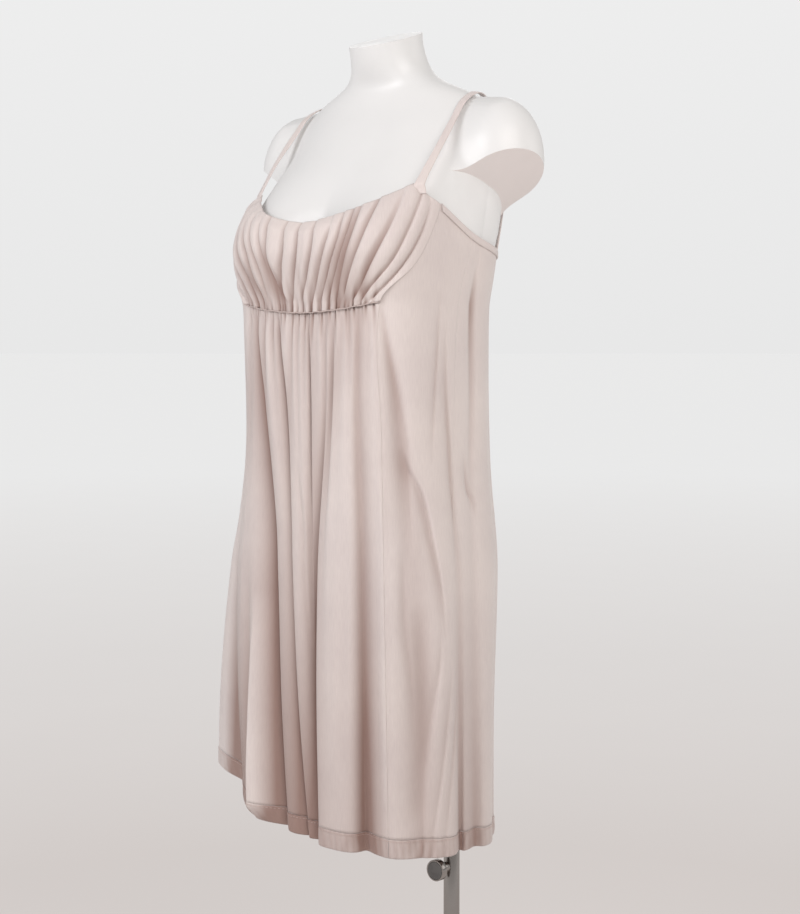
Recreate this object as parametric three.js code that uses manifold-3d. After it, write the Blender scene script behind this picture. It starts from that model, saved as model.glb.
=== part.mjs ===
// An empire-line strap dress in fine jersey, worn by a smooth dress form without limbs that stands on
// a telescopic pole and a round floor plate. Millimetres, +Z up. The front faces -Y and the wearer's
// left is +X. The origin is the centre of the floor plate's underside.
//
// The cloth is one radial surface round an upright axis: a table of rings gives its outline, and
// tables of folds sink pleats and gathers into it. Each panel is a thin wall cut from that surface.

import * as THREE from "three";
import { mergeVertices } from "three/addons/utils/BufferGeometryUtils.js";
import Module from "manifold-3d";

const wasm = await Module();
wasm.setup();

// ---- driving dimensions ----------------------------------------------------------------------

const SEAM_GAP = 0.3; // between pieces that are sewn together
const CLOTH = 1.5; // wall of a single layer with its seam allowances
const HEM_CLOTH = 2.4; // wall of the turned hem band
const BODICE_CLOTH = 1.8; // wall of the gathered bodice front
const BODY_CLEARANCE = 0.45; // least gap from the form to the inside of the cloth
const STEEPEST = 2.2; // a steep fold side is thickened radially by at most this much
const BODICE_LIFT = 1; // the gathered front stands out over the seams beside it
const HEM_LIFT_OUT = 0.5; // and the turned hem over the panels above it

const AXIS_Y = -20; // the upright axis that the cloth is measured from
const FRONT = -90; // degrees round that axis: 0 is the wearer's left and 90 the centre back

const HEM_Z = 462;
const HEM_BAND = 25;
const EMPIRE_Z = 1158; // the empire seam at the centre front
const EMPIRE_RISE = 13; // its ends are higher
const EMPIRE_HALF_ANGLE = 41.5;
const NECK_Z = 1270; // the neckline at the centre front
const NECK_RISE = 48; // up to the foot of a strap
const STRAP_ANGLE = 58; // from the centre front to the foot of a strap
const BODICE_ANGLE = 67; // from the centre front to the bodice's corner at the armhole

const BACK_STRAP_ANGLE = 124;
const STRAP_FRONT_Z = 1318.4;
const STRAP_BACK_Z = 1242.6;
const STRAP_CLEARANCE = 5.7;
const STRAP_WIDTH = 11;
const STRAP_THICKNESS = 1.6;
const STRAP_FACING = 0.7; // how far a strap turns outward with the form under it
const STRAP_STEPS = 22;
const BINDING_DEPTH = 9;
const BINDING_WALL = 1;

const FORM_BOTTOM_Z = 790;
const NECK_TOP_Z = 1526;
const FORM_COLUMNS = 44;
const ARM_CROWDING = 0.2; // how far the columns of the form draw together at the arms

const POLE_X = 80;
const POLE_Y = 40;
const PLATE_RADIUS = 190;
const PLATE_THICKNESS = 6;
const OUTER_TUBE_RADIUS = 11;
const INNER_TUBE_RADIUS = 9;
const INNER_TUBE_WALL = 1.5;
const TUBE_RUNNING_GAP = 0.4;
const OUTER_TUBE_TOP_Z = 448;
const INNER_TUBE_BOTTOM_Z = 190;
const SOCKET_RADIUS = 24;
const SOCKET_HEIGHT = 20;
const SOCKET_BORE_DEPTH = 14;
const PLATE_SOCKET_TOP_Z = 36;
const PLATE_SOCKET_RADIUS = 17;
const KNOB_Z = 406;
const KNOB_RADIUS = 14.5;
const KNOB_RIM = 2.2;
const KNOB_LENGTH = 9;
const BOSS_RADIUS = 7;
const BOSS_LENGTH = 13;
const HUB_LENGTH = 3;
const PART_GAP = 0.3; // between pieces of the stand that touch

const HALVINGS = 30; // steps of a search along a ray
const RAY_REACH = 400; // its length, beyond anything it looks for
const SETTLE_STEPS = 8; // rounds until an angle and a height that depend on each other agree

// ---- tables ----------------------------------------------------------------------------------

// Rings of the form: half width, front and back of each level, where it is widest, and how square
// its outline is.
const FORM_RINGS = [
  { z: 790, half: 144, front: -84, back: 92, middle: 4, frontPower: 2.3, backPower: 2.3 },
  { z: 860, half: 154, front: -90, back: 105, middle: 6, frontPower: 2.2, backPower: 2.2 },
  { z: 930, half: 148, front: -94, back: 99, middle: 4, frontPower: 2.2, backPower: 2.2 },
  { z: 1010, half: 130, front: -90, back: 82, middle: 0, frontPower: 2.2, backPower: 2.2 },
  { z: 1080, half: 118, front: -86, back: 73, middle: -4, frontPower: 2.2, backPower: 2.2 },
  { z: 1120, half: 120, front: -90, back: 73, middle: -6, frontPower: 2.4, backPower: 2.2 },
  { z: 1180, half: 137, front: -106, back: 86, middle: -6, frontPower: 3, backPower: 2.3 },
  { z: 1240, half: 154, front: -120, back: 100, middle: 0, frontPower: 3.6, backPower: 2.4 },
  { z: 1290, half: 161, front: -122, back: 108, middle: 5, frontPower: 3.7, backPower: 2.4 },
  { z: 1330, half: 162, front: -104, back: 110, middle: 10, frontPower: 3.2, backPower: 2.4 },
  { z: 1370, half: 158, front: -78, back: 104, middle: 15, frontPower: 2.5, backPower: 2.3 },
  { z: 1405, half: 153, front: -57, back: 94, middle: 20, frontPower: 2.2, backPower: 2.1 },
  { z: 1432, half: 142, front: -42, back: 82, middle: 22, frontPower: 2, backPower: 2 },
  { z: 1449, half: 121, front: -35, back: 74, middle: 21, frontPower: 2, backPower: 2 },
  { z: 1459, half: 99, front: -33, back: 70, middle: 20, frontPower: 2, backPower: 2 },
  { z: 1467, half: 80, front: -35, back: 67, middle: 18, frontPower: 2, backPower: 2 },
  { z: 1477, half: 64, front: -40, back: 63, middle: 14, frontPower: 2, backPower: 2 },
  { z: 1490, half: 55, front: -46, back: 58, middle: 8, frontPower: 2, backPower: 2 },
  { z: 1508, half: 51, front: -52, back: 50, middle: 1, frontPower: 2, backPower: 2 },
  { z: 1526, half: 50, front: -57, back: 45, middle: -5, frontPower: 2, backPower: 2 },
];
const FORM_LEVELS = [
  790, 840, 900, 970, 1040, 1100, 1150, 1190, 1225, 1260, 1295, 1325, 1350, 1372, 1390, 1405, 1417,
  1427, 1435, 1441, 1447, 1453, 1459, 1466, 1476, 1490, 1508, 1526,
];

const BUST = { x: 96, z: 1242, out: 42, wide: 62, high: 66 };
const ARM = { x: 172, y: 20, z: 1356, halfX: 60, halfY: 57, halfZ: 82, blend: 30 };
// The plane that the arm is cut off at: a point on it, and its normal out of the stump.
const ARM_CUT = { x: 140, y: -35, z: 1325, normalX: 0.49, normalY: -0.28, normalZ: -0.82 };
const NECK_CUT_SLOPE = 0.32; // the neck's flat top falls to the front

// Rings of the cloth, measured from the upright axis, before the folds are sunk into it.
const CLOTH_RINGS = [
  { z: 450, side: 212, front: 160, back: 149, frontPower: 2.8, backPower: 1.8, sway: -24 },
  { z: 640, side: 200, front: 162, back: 140, frontPower: 3.1, backPower: 1.85, sway: -16 },
  { z: 820, side: 184, front: 158, back: 137, frontPower: 3.4, backPower: 2, sway: -5 },
  { z: 880, side: 175, front: 156, back: 134, frontPower: 3.5, backPower: 2, sway: -1 },
  { z: 960, side: 166, front: 155, back: 131, frontPower: 3.6, backPower: 2, sway: 0 },
  { z: 1060, side: 162, front: 154, back: 128, frontPower: 3.7, backPower: 2, sway: 0 },
  { z: 1130, side: 159, front: 153, back: 126, frontPower: 3.7, backPower: 2.1, sway: 0 },
  { z: 1168, side: 159, front: 151, back: 126, frontPower: 3.8, backPower: 2.1, sway: 0 },
  { z: 1200, side: 162, front: 158, back: 128, frontPower: 4, backPower: 2.2, sway: 0 },
  { z: 1235, side: 165, front: 163, back: 130, frontPower: 4.2, backPower: 2.3, sway: 0 },
  { z: 1268, side: 166, front: 155, back: 133, frontPower: 4, backPower: 2.3, sway: 0 },
  { z: 1300, side: 168, front: 138, back: 136, frontPower: 3.4, backPower: 2.3, sway: 0 },
  { z: 1340, side: 168, front: 116, back: 138, frontPower: 2.8, backPower: 2.3, sway: 0 },
];

// The heights at which a fold's angle and depth are set.
const FOLD_LEVELS = [1158, 1040, 840, 470];

// Gathers of the front skirt: degrees from the centre front and depth at each level, and how wide
// the valley is at the hem to its left and right. The ones that reach the hem are the large folds.
const SKIRT_GATHERS = [
  { angles: [-39.5, -40, -44, -44], depths: [4, 3, 0, 0], left: 5, right: 4 },
  { angles: [-34, -30, -21, -15], depths: [6, 12, 25, 27], left: 9, right: 3.6 },
  { angles: [-28.5, -25.5, -17, -11], depths: [5, 4, 0, 0], left: 4, right: 3 },
  { angles: [-23, -19.5, -13, -6.5], depths: [5, 3, 0, 0], left: 4, right: 3 },
  { angles: [-18.5, -13.5, -9, -1.5], depths: [5, 13, 13, 17], left: 6, right: 3.2 },
  { angles: [-10.5, -9, -5, 0.8], depths: [5, 4, 0, 0], left: 4, right: 3 },
  { angles: [-6, -4.5, -2, 2.4], depths: [5, 4, 2, 0], left: 4, right: 3 },
  { angles: [-2, -0.5, 0.5, 4], depths: [5, 3, 0, 0], left: 4, right: 3 },
  { angles: [2.5, 4.5, 3, 5.5], depths: [6, 10, 7, 0], left: 4, right: 3 },
  { angles: [8, 8.5, 6, 7], depths: [5, 3, 0, 0], left: 4, right: 3 },
  { angles: [14, 13.5, 9, 8.6], depths: [5, 6, 17, 21], left: 6, right: 3.2 },
  { angles: [19, 18.5, 14, 14], depths: [5, 7, 2, 0], left: 4, right: 3 },
  { angles: [24, 22.5, 20, 20], depths: [5, 4, 0, 0], left: 4, right: 3 },
  { angles: [28, 27, 26, 26], depths: [5, 2, 0, 0], left: 4, right: 3 },
  { angles: [32, 31.5, 32, 32], depths: [6, 10, 16, 29], left: 7, right: 3.6 },
  { angles: [37, 36.5, 37, 38], depths: [4, 2, 0, 0], left: 4, right: 3 },
];
const GATHER_WIDTH_SEAM = 1.7; // degrees
const GATHER_STEPS = 4; // columns of the wall from one gather to the next

// Pleats of the bodice front: degrees from the centre front at the neckline and at the empire seam.
const BODICE_PLEATS = [
  { neck: -61, seam: -39.5, deep: 5 },
  { neck: -54, seam: -37, deep: 5 },
  { neck: -46, seam: -33.5, deep: 6 },
  { neck: -38, seam: -29.5, deep: 5 },
  { neck: -30, seam: -25, deep: 6 },
  { neck: -23, seam: -20.5, deep: 5 },
  { neck: -16, seam: -15.5, deep: 7 },
  { neck: -9, seam: -10, deep: 6 },
  { neck: -3, seam: -4.5, deep: 5 },
  { neck: 3.5, seam: 1, deep: 7 },
  { neck: 10, seam: 6.5, deep: 5 },
  { neck: 17, seam: 12, deep: 6 },
  { neck: 24, seam: 17, deep: 6 },
  { neck: 31, seam: 21.5, deep: 6 },
  { neck: 38, seam: 26, deep: 5 },
  { neck: 46, seam: 30, deep: 6 },
  { neck: 54, seam: 34, deep: 5 },
  { neck: 61, seam: 37.5, deep: 6 },
];
const PLEAT_WIDTH = 2.2;
const PLEAT_STEPS = 4;

// Long folds of the side and back panels, set as the gathers are. A negative depth is a ridge.
const LONG_FOLDS = [
  { angles: [43, 48, 52, 52], depths: [2, 10, 6, 0], left: 6, right: 5 },
  { angles: [56, 56, 57, 58], depths: [0, 0, 5, 9], left: 7, right: 7 },
  { angles: [74, 74, 76, 79], depths: [0, 0, 4, 14], left: 4, right: 5 },
  { angles: [93, 91, 86, 89], depths: [7, 6, 3, 12], left: 5, right: 5 },
  { angles: [110, 110, 108, 106], depths: [0, 2, 4, 12], left: 6, right: 5 },
  { angles: [128, 128, 127, 125], depths: [2, 5, 7, 14], left: 6, right: 5 },
  { angles: [146, 147, 148, 146], depths: [0, 2, 5, 12], left: 6, right: 6 },
  { angles: [166, 167, 168, 167], depths: [2, 4, 6, 15], left: 6, right: 5 },
  { angles: [190, 189, 188, 187], depths: [0, 3, 5, 12], left: 6, right: 6 },
  { angles: [212, 211, 210, 208], depths: [2, 5, 7, 15], left: 6, right: 6 },
  { angles: [232, 232, 231, 230], depths: [0, 2, 5, 12], left: 6, right: 6 },
  { angles: [252, 253, 254, 252], depths: [2, 4, 6, 13], left: 5, right: 6 },
  { angles: [267, 269, 272, 262], depths: [7, 6, 3, 10], left: 5, right: 5 },
  { angles: [300, 300, 297, 280], depths: [0, 0, -10, -34], left: 12, right: 9 },
  { angles: [317, 312, 308, 302], depths: [2, 9, 12, 50], left: 9, right: 20 },
];
const LONG_FOLD_WIDTH_TOP = 4;

// How much the hem hangs above its level, in degrees round the axis. The first row repeats the last
// ones, for an even run past the centre back.
const HEM_LIFT = [
  { angle: -190, lift: 52 },
  { angle: -180, lift: 60 },
  { angle: -155, lift: 58 },
  { angle: -130, lift: 30 },
  { angle: -90, lift: 8 },
  { angle: -50, lift: 1 },
  { angle: 0, lift: -1 },
  { angle: 40, lift: 0 },
  { angle: 90, lift: 10 },
  { angle: 140, lift: 32 },
  { angle: 170, lift: 52 },
  { angle: 180, lift: 60 },
];

// The seams between the panels, in degrees from the centre front, from the top down.
const SIDE_SEAM = [
  { z: 1320, angle: 90 },
  { z: 1265, angle: 89 },
  { z: 1180, angle: 81 },
  { z: 1000, angle: 76 },
  { z: 700, angle: 74 },
  { z: 480, angle: 79 },
];
const PANEL_EDGE = [
  { z: 1340, angle: 70 },
  { z: 1294, angle: 67 },
  { z: 1256, angle: 62 },
  { z: 1216, angle: 54.5 },
  { z: 1171, angle: 41.6 },
  { z: 1000, angle: 42 },
  { z: 480, angle: 45 },
];
// The top edge of the side and back panels, in degrees from the centre front.
const ARMHOLE_EDGE = [
  { angle: 55, z: 1324 },
  { angle: 67, z: 1294 },
  { angle: 90, z: 1257 },
  { angle: 117, z: 1241 },
  { angle: 150, z: 1236 },
  { angle: 180, z: 1234 },
];

// ---- small helpers ---------------------------------------------------------------------------

const radians = THREE.MathUtils.degToRad;
const clamp = THREE.MathUtils.clamp;
const lerp = THREE.MathUtils.lerp;

// The value of one column of a table at a place along another, on a smooth curve through the rows.
function smooth(rows, key, at, column) {
  const rising = rows[0][key] < rows[rows.length - 1][key];
  const list = rising ? rows : rows.slice().reverse();
  const last = list.length - 1;
  const x = clamp(at, list[0][key], list[last][key]);
  let i = 0;
  while (i < last - 1 && x > list[i + 1][key]) i += 1;
  const slope = (n) => {
    const before = list[Math.max(n - 1, 0)];
    const after = list[Math.min(n + 1, last)];
    return (after[column] - before[column]) / (after[key] - before[key]);
  };
  const span = list[i + 1][key] - list[i][key];
  const t = (x - list[i][key]) / span;
  const t2 = t * t;
  const t3 = t2 * t;
  return (
    (2 * t3 - 3 * t2 + 1) * list[i][column] +
    (t3 - 2 * t2 + t) * span * slope(i) +
    (3 * t2 - 2 * t3) * list[i + 1][column] +
    (t3 - t2) * span * slope(i + 1)
  );
}

// The radius of a ring that is longer to the front than to the back.
function ringRadius(angle, side, front, back, frontPower, backPower) {
  const across = Math.abs(Math.cos(angle));
  const along = Math.sin(angle);
  const depth = along < 0 ? front : back;
  const power = along < 0 ? frontPower : backPower;
  const sum = (across / side) ** power + (Math.abs(along) / depth) ** power;
  return sum ** (-1 / power);
}

function meshOf(name, geometry, material) {
  const mesh = new THREE.Mesh(geometry, material);
  mesh.name = name;
  return mesh;
}

// A closed geometry from shared points and triangles.
function closedGeometry(points, triangles) {
  const geometry = new THREE.BufferGeometry();
  geometry.setAttribute("position", new THREE.Float32BufferAttribute(points.flat(), 3));
  geometry.setIndex(triangles.flat());
  geometry.computeVertexNormals();
  return geometry;
}

// ---- materials -------------------------------------------------------------------------------

const JERSEY = new THREE.MeshStandardMaterial({ color: 0xd3c0b9, roughness: 0.62, metalness: 0 });
const FORM_SHELL = new THREE.MeshStandardMaterial({ color: 0xf2f1ef, roughness: 0.45, metalness: 0 });
const CHROME = new THREE.MeshStandardMaterial({ color: 0xb9b6b3, roughness: 0.16, metalness: 1 });
const KNOB_GREY = new THREE.MeshStandardMaterial({ color: 0x4a4a4b, roughness: 0.4, metalness: 0 });
const PLATE_METAL = new THREE.MeshStandardMaterial({ color: 0xa7a5a3, roughness: 0.35, metalness: 1 });

// ---- the dress form --------------------------------------------------------------------------

// How far a point is outside the torso, measured level from the middle of its ring.
function torsoDistance(x, y, z) {
  const at = (column) => smooth(FORM_RINGS, "z", z, column);
  const middle = at("middle");
  const angle = Math.atan2(y - middle, x);
  const depths = [middle - at("front"), at("back") - middle];
  const radius = ringRadius(angle, at("half"), ...depths, at("frontPower"), at("backPower"));
  const facing = Math.max(0, -Math.sin(angle));
  const acrossBust = (Math.abs(x) - BUST.x) / BUST.wide;
  const upBust = (z - BUST.z) / BUST.high;
  const bust = BUST.out * Math.sqrt(facing) * Math.exp(-acrossBust * acrossBust - upBust * upBust);
  return Math.hypot(x, y - middle) - radius - bust;
}

// How far a point is outside the upper arm, and so the deltoid above it.
function armDistance(x, y, z) {
  const dx = (Math.abs(x) - ARM.x) / ARM.halfX;
  const dy = (y - ARM.y) / ARM.halfY;
  const dz = (z - ARM.z) / ARM.halfZ;
  return (Math.hypot(dx, dy, dz) - 1) * ARM.halfX;
}

function bodyDistance(x, y, z) {
  const torso = torsoDistance(x, y, z);
  const arm = armDistance(x, y, z);
  const share = clamp(0.5 + (arm - torso) / (2 * ARM.blend), 0, 1);
  return lerp(arm, torso, share) - ARM.blend * share * (1 - share);
}

// The length of a ray from inside a body to where it leaves it, found by halving.
function reachOf(isInside) {
  let inside = 0;
  let outside = RAY_REACH;
  for (let i = 0; i < HALVINGS; i += 1) {
    const half = (inside + outside) / 2;
    if (isInside(half)) inside = half;
    else outside = half;
  }
  return (inside + outside) / 2;
}

// The radius of a body's skin at a height, measured level from a point on its middle plane.
function rayRadius(distance, originY, angle, z) {
  const dx = Math.cos(angle);
  const dy = Math.sin(angle);
  return reachOf((radius) => distance(radius * dx, originY + radius * dy, z) < 0);
}

// The body's skin as rings of points, closed by a flat cap at each end.
function ringSolid(distance) {
  const points = [];
  const triangles = [];
  const count = FORM_COLUMNS;
  FORM_LEVELS.forEach((z) => {
    const middle = smooth(FORM_RINGS, "z", z, "middle");
    for (let i = 0; i < count; i += 1) {
      const even = (2 * Math.PI * i) / count;
      const angle = even - ARM_CROWDING * Math.sin(2 * even);
      const radius = rayRadius(distance, middle, angle, z);
      const y = middle + radius * Math.sin(angle);
      const isTop = z === NECK_TOP_Z;
      points.push([radius * Math.cos(angle), y, isTop ? z + NECK_CUT_SLOPE * (y - middle) : z]);
    }
  });
  const rings = FORM_LEVELS.length;
  for (let r = 0; r < rings - 1; r += 1) {
    for (let i = 0; i < count; i += 1) {
      const next = (i + 1) % count;
      const a = r * count + i;
      const b = r * count + next;
      triangles.push([a, b, b + count], [a, b + count, a + count]);
    }
  }
  [0, rings - 1].forEach((r) => {
    const middle = points.length;
    const y = smooth(FORM_RINGS, "z", FORM_LEVELS[r], "middle");
    points.push([0, y, FORM_LEVELS[r]]);
    for (let i = 0; i < count; i += 1) {
      const a = r * count + i;
      const b = r * count + ((i + 1) % count);
      triangles.push(r === 0 ? [middle, b, a] : [middle, a, b]);
    }
  });
  return closedGeometry(points, triangles);
}

function manifoldOf(geometry) {
  const bare = new THREE.BufferGeometry();
  bare.setAttribute("position", geometry.getAttribute("position").clone());
  if (geometry.index) bare.setIndex(geometry.index.clone());
  const merged = mergeVertices(bare.index ? bare.toNonIndexed() : bare, 1e-3);
  return new wasm.Manifold(
    new wasm.Mesh({
      numProp: 3,
      vertProperties: merged.attributes.position.array,
      triVerts: new Uint32Array(merged.index.array),
    }),
  );
}

function geometryOf(solid) {
  const mesh = solid.getMesh();
  const geometry = new THREE.BufferGeometry();
  geometry.setAttribute("position", new THREE.BufferAttribute(mesh.vertProperties, 3));
  geometry.setIndex(new THREE.BufferAttribute(mesh.triVerts, 1));
  geometry.computeVertexNormals();
  return geometry;
}

// The block outside the plane that cuts one arm off, on the side given by its sign.
function armCutter(sign) {
  const reach = 300;
  const normal = new THREE.Vector3(sign * ARM_CUT.normalX, ARM_CUT.normalY, ARM_CUT.normalZ);
  normal.normalize();
  const turn = new THREE.Quaternion().setFromUnitVectors(new THREE.Vector3(0, 0, 1), normal);
  const place = new THREE.Vector3(sign * ARM_CUT.x, ARM_CUT.y, ARM_CUT.z);
  place.addScaledVector(normal, reach / 2);
  const block = new THREE.BoxGeometry(reach, reach, reach);
  block.applyMatrix4(new THREE.Matrix4().makeRotationFromQuaternion(turn));
  block.translate(place.x, place.y, place.z);
  return manifoldOf(block);
}

function formBody() {
  const torso = manifoldOf(ringSolid(torsoDistance));
  const whole = manifoldOf(ringSolid(bodyDistance));
  const trimmed = whole.subtract(armCutter(1)).subtract(armCutter(-1));
  return geometryOf(trimmed.add(torso));
}

// ---- the cloth surface -----------------------------------------------------------------------

function clothBase(angle, z) {
  const at = (column) => smooth(CLOTH_RINGS, "z", z, column);
  const turn = radians(angle);
  const round = ringRadius(turn, at("side"), at("front"), at("back"), at("frontPower"), at("backPower"));
  return round + at("sway") * Math.cos(turn);
}

// A valley: 1 at its bottom, falling away to both sides.
function valley(offset, left, right = left) {
  const t = offset / (offset < 0 ? left : right);
  return 1 / (1 + t * t) ** 1.2;
}

function angleBetween(a, b) {
  return ((a - b + 540) % 360) - 180;
}

// Where a fold is at a height, how deep it is there, and how wide to its left and right.
function foldAt(fold, z, topWidth) {
  const rows = FOLD_LEVELS.map((level, i) => ({ z: level, angle: fold.angles[i], deep: fold.depths[i] }));
  const [top, , , bottom] = FOLD_LEVELS;
  const down = Math.sqrt(clamp((top - z) / (top - bottom), 0, 1));
  return {
    angle: smooth(rows, "z", z, "angle"),
    deep: smooth(rows, "z", z, "deep"),
    left: lerp(topWidth, fold.left, down),
    right: lerp(topWidth, fold.right, down),
  };
}

function skirtFolds(fromFront, z) {
  return SKIRT_GATHERS.reduce((sum, row) => {
    const gather = foldAt(row, z, GATHER_WIDTH_SEAM);
    const deep = Math.max(0, gather.deep);
    return sum + deep * valley(fromFront - gather.angle, gather.left, gather.right);
  }, 0);
}

function bodicePleat(pleat, z) {
  const up = clamp((z - EMPIRE_Z) / (NECK_Z - EMPIRE_Z), 0, 1.4);
  return lerp(pleat.seam, pleat.neck, up ** 0.9);
}

function bodiceFolds(fromFront, z) {
  const up = clamp((z - EMPIRE_Z) / (NECK_Z - EMPIRE_Z), 0, 1.3);
  const width = PLEAT_WIDTH * (0.6 + 0.7 * up);
  const depth = 0.55 + 0.45 * Math.sin(Math.PI * clamp(0.15 + 0.6 * up, 0, 1));
  return BODICE_PLEATS.reduce(
    (sum, pleat) => sum + pleat.deep * depth * valley(fromFront - bodicePleat(pleat, z), width),
    0,
  );
}

function longFolds(angle, z) {
  const fade = clamp((1250 - z) / 80, 0, 1);
  return LONG_FOLDS.reduce((sum, row) => {
    const fold = foldAt(row, z, LONG_FOLD_WIDTH_TOP);
    const offset = angleBetween(angle - FRONT, fold.angle);
    return sum + fade * fold.deep * valley(offset, fold.left, fold.right);
  }, 0);
}

// The radius of the cloth's outer face, never nearer the form than its wall and clearance need.
function clothRadius(angle, z, wall, folds) {
  const skin = rayRadius(torsoDistance, AXIS_Y, radians(angle), z);
  return Math.max(clothBase(angle, z) - folds, skin + wall + BODY_CLEARANCE);
}

function clothPoint(angle, z, radius) {
  const turn = radians(angle);
  return [radius * Math.cos(turn), AXIS_Y + radius * Math.sin(turn), z];
}

// ---- walls -----------------------------------------------------------------------------------

// A thin closed wall over a grid of places on the cloth: place(column, row) gives the angle, the
// height and the folds there.
function clothWall(columns, rows, wall, place, lift = 0) {
  const outer = [];
  const inner = [];
  const radii = [];
  const places = [];
  for (let r = 0; r <= rows; r += 1) {
    for (let c = 0; c <= columns; c += 1) {
      const spot = place(c, r);
      places.push(spot);
      radii.push(clothRadius(spot.angle, spot.z, STEEPEST * wall, spot.folds) + lift);
    }
  }
  const index = (c, r) => r * (columns + 1) + c;
  places.forEach((spot, i) => {
    const c = i % (columns + 1);
    const left = i - (c > 0 ? 1 : 0);
    const right = i + (c < columns ? 1 : 0);
    const arc = radians(places[right].angle - places[left].angle) * radii[i];
    const slope = Math.abs((radii[right] - radii[left]) / (arc || 1));
    const steep = clamp(Math.hypot(1, slope), 1, STEEPEST);
    outer.push(clothPoint(spot.angle, spot.z, radii[i]));
    inner.push(clothPoint(spot.angle, spot.z, radii[i] - wall * steep));
  });
  const triangles = [];
  const under = outer.length;
  const quad = (a, b, c, d) => triangles.push([a, b, c], [a, c, d]);
  for (let r = 0; r < rows; r += 1) {
    for (let c = 0; c < columns; c += 1) {
      const a = index(c, r);
      const b = index(c + 1, r);
      const d = index(c, r + 1);
      const e = index(c + 1, r + 1);
      quad(a, d, e, b);
      quad(under + a, under + b, under + e, under + d);
    }
  }
  for (let c = 0; c < columns; c += 1) {
    const a = index(c, 0);
    const b = index(c + 1, 0);
    const d = index(c, rows);
    const e = index(c + 1, rows);
    quad(a, b, under + b, under + a);
    quad(e, d, under + d, under + e);
  }
  for (let r = 0; r < rows; r += 1) {
    const a = index(0, r);
    const b = index(0, r + 1);
    const d = index(columns, r);
    const e = index(columns, r + 1);
    quad(a, under + a, under + b, b);
    quad(d, e, under + e, under + d);
  }
  return closedGeometry(outer.concat(inner), triangles);
}

const panelEdge = (z) => smooth(PANEL_EDGE, "z", z, "angle");
const sideSeam = (z) => smooth(SIDE_SEAM, "z", z, "angle");
const hemZ = (angle) => HEM_Z + smooth(HEM_LIFT, "angle", angleBetween(angle, 0), "lift");
const bandTopZ = (angle) => hemZ(angle) + HEM_BAND;
const empireShare = (fromFront) => Math.min(1, Math.abs(fromFront) / EMPIRE_HALF_ANGLE);
const empireZ = (fromFront) => EMPIRE_Z + EMPIRE_RISE * empireShare(fromFront) ** 2;
const neckZ = (fromFront) => NECK_Z + NECK_RISE * Math.abs(fromFront / STRAP_ANGLE) ** 1.7;
const armholeZ = (fromFront) => smooth(ARMHOLE_EDGE, "angle", Math.abs(fromFront), "z");

// Half of the seam gap, in degrees, at a cloth radius of about 160 mm.
const GAP_ANGLE = THREE.MathUtils.radToDeg(SEAM_GAP / 2 / 160);

// The columns of the front skirt follow its gathers: the angle of a column at a height.
function gatherColumn(column, z) {
  const edge = panelEdge(z) - GAP_ANGLE;
  const angles = SKIRT_GATHERS.map((row) => foldAt(row, z, GATHER_WIDTH_SEAM).angle);
  const lines = [-edge, ...angles, edge];
  return columnAngle(lines, column, GATHER_STEPS, edge);
}

function columnAngle(lines, column, steps, edge) {
  const i = Math.min(Math.floor(column / steps), lines.length - 2);
  const squeezed = lines.map((angle) => clamp(angle, -edge, edge));
  return lerp(squeezed[i], squeezed[i + 1], column / steps - i);
}

const GATHER_COLUMNS = (SKIRT_GATHERS.length + 1) * GATHER_STEPS;
const PLEAT_COLUMNS = (BODICE_PLEATS.length + 1) * PLEAT_STEPS;

// ---- panels ----------------------------------------------------------------------------------

const CORNER_Z = empireZ(EMPIRE_HALF_ANGLE);
const SKIRT_ROWS = [0, 0.03, 0.08, 0.17, 0.3, 0.44, 0.6, 0.8, 1];
const BODICE_ROWS = [0, 0.16, 0.38, 0.62, 0.83, 1];
const SIDE_COLUMNS = 11;
const BACK_COLUMNS = 38;


// All folds at a place. Those of the front skirt end a little beyond its edges.
function skirtRadiusFolds(fromFront, z) {
  const inFront = clamp((panelEdge(z) + 3 - Math.abs(angleBetween(fromFront, 0))) / 6, 0, 1);
  return inFront * skirtFolds(fromFront, z) + longFolds(fromFront + FRONT, z);
}

// A place on the cloth for a column whose angle depends on its height, and a row whose height
// depends on its angle.
function settle(angleAt, heightAt) {
  let z = FORM_BOTTOM_Z;
  let fromFront = 0;
  for (let i = 0; i < SETTLE_STEPS; i += 1) {
    fromFront = angleAt(z);
    z = heightAt(fromFront);
  }
  return { fromFront, z, angle: fromFront + FRONT };
}

function frontSkirt() {
  const bottomAt = (a) => bandTopZ(a + FRONT) + SEAM_GAP / 2;
  const topAt = (a) => empireZ(a) - SEAM_GAP / 2;
  const place = (c, r) => {
    const spot = settle(
      (z) => gatherColumn(c, z),
      (a) => lerp(topAt(a), bottomAt(a), SKIRT_ROWS[r]),
    );
    return { ...spot, folds: skirtRadiusFolds(spot.fromFront, spot.z) };
  };
  return clothWall(GATHER_COLUMNS, SKIRT_ROWS.length - 1, CLOTH, place);
}

function bodiceFront() {
  const bottomAt = (a) => empireZ(a) + SEAM_GAP / 2;
  const topAt = (a) => Math.min(neckZ(a), armholeZ(a));
  const place = (c, r) => {
    const spot = settle(
      (z) => {
        const edge = panelEdge(z) - GAP_ANGLE;
        const lines = [-edge, ...BODICE_PLEATS.map((row) => bodicePleat(row, z)), edge];
        return columnAngle(lines, c, PLEAT_STEPS, edge);
      },
      (a) => lerp(topAt(a), bottomAt(a), BODICE_ROWS[r]),
    );
    const fade = clamp((panelEdge(spot.z) - Math.abs(spot.fromFront)) / 2.5, 0, 1);
    return { ...spot, folds: bodiceFolds(spot.fromFront, spot.z) * fade };
  };
  return clothWall(PLEAT_COLUMNS, BODICE_ROWS.length - 1, BODICE_CLOTH, place, BODICE_LIFT);
}

// The rows of the side and back panels meet those of the bodice and of the skirt along their seams.
const UPPER_ROWS = BODICE_ROWS.slice(0, -1);
const SIDE_ROWS = UPPER_ROWS.length + SKIRT_ROWS.length - 1;

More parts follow.
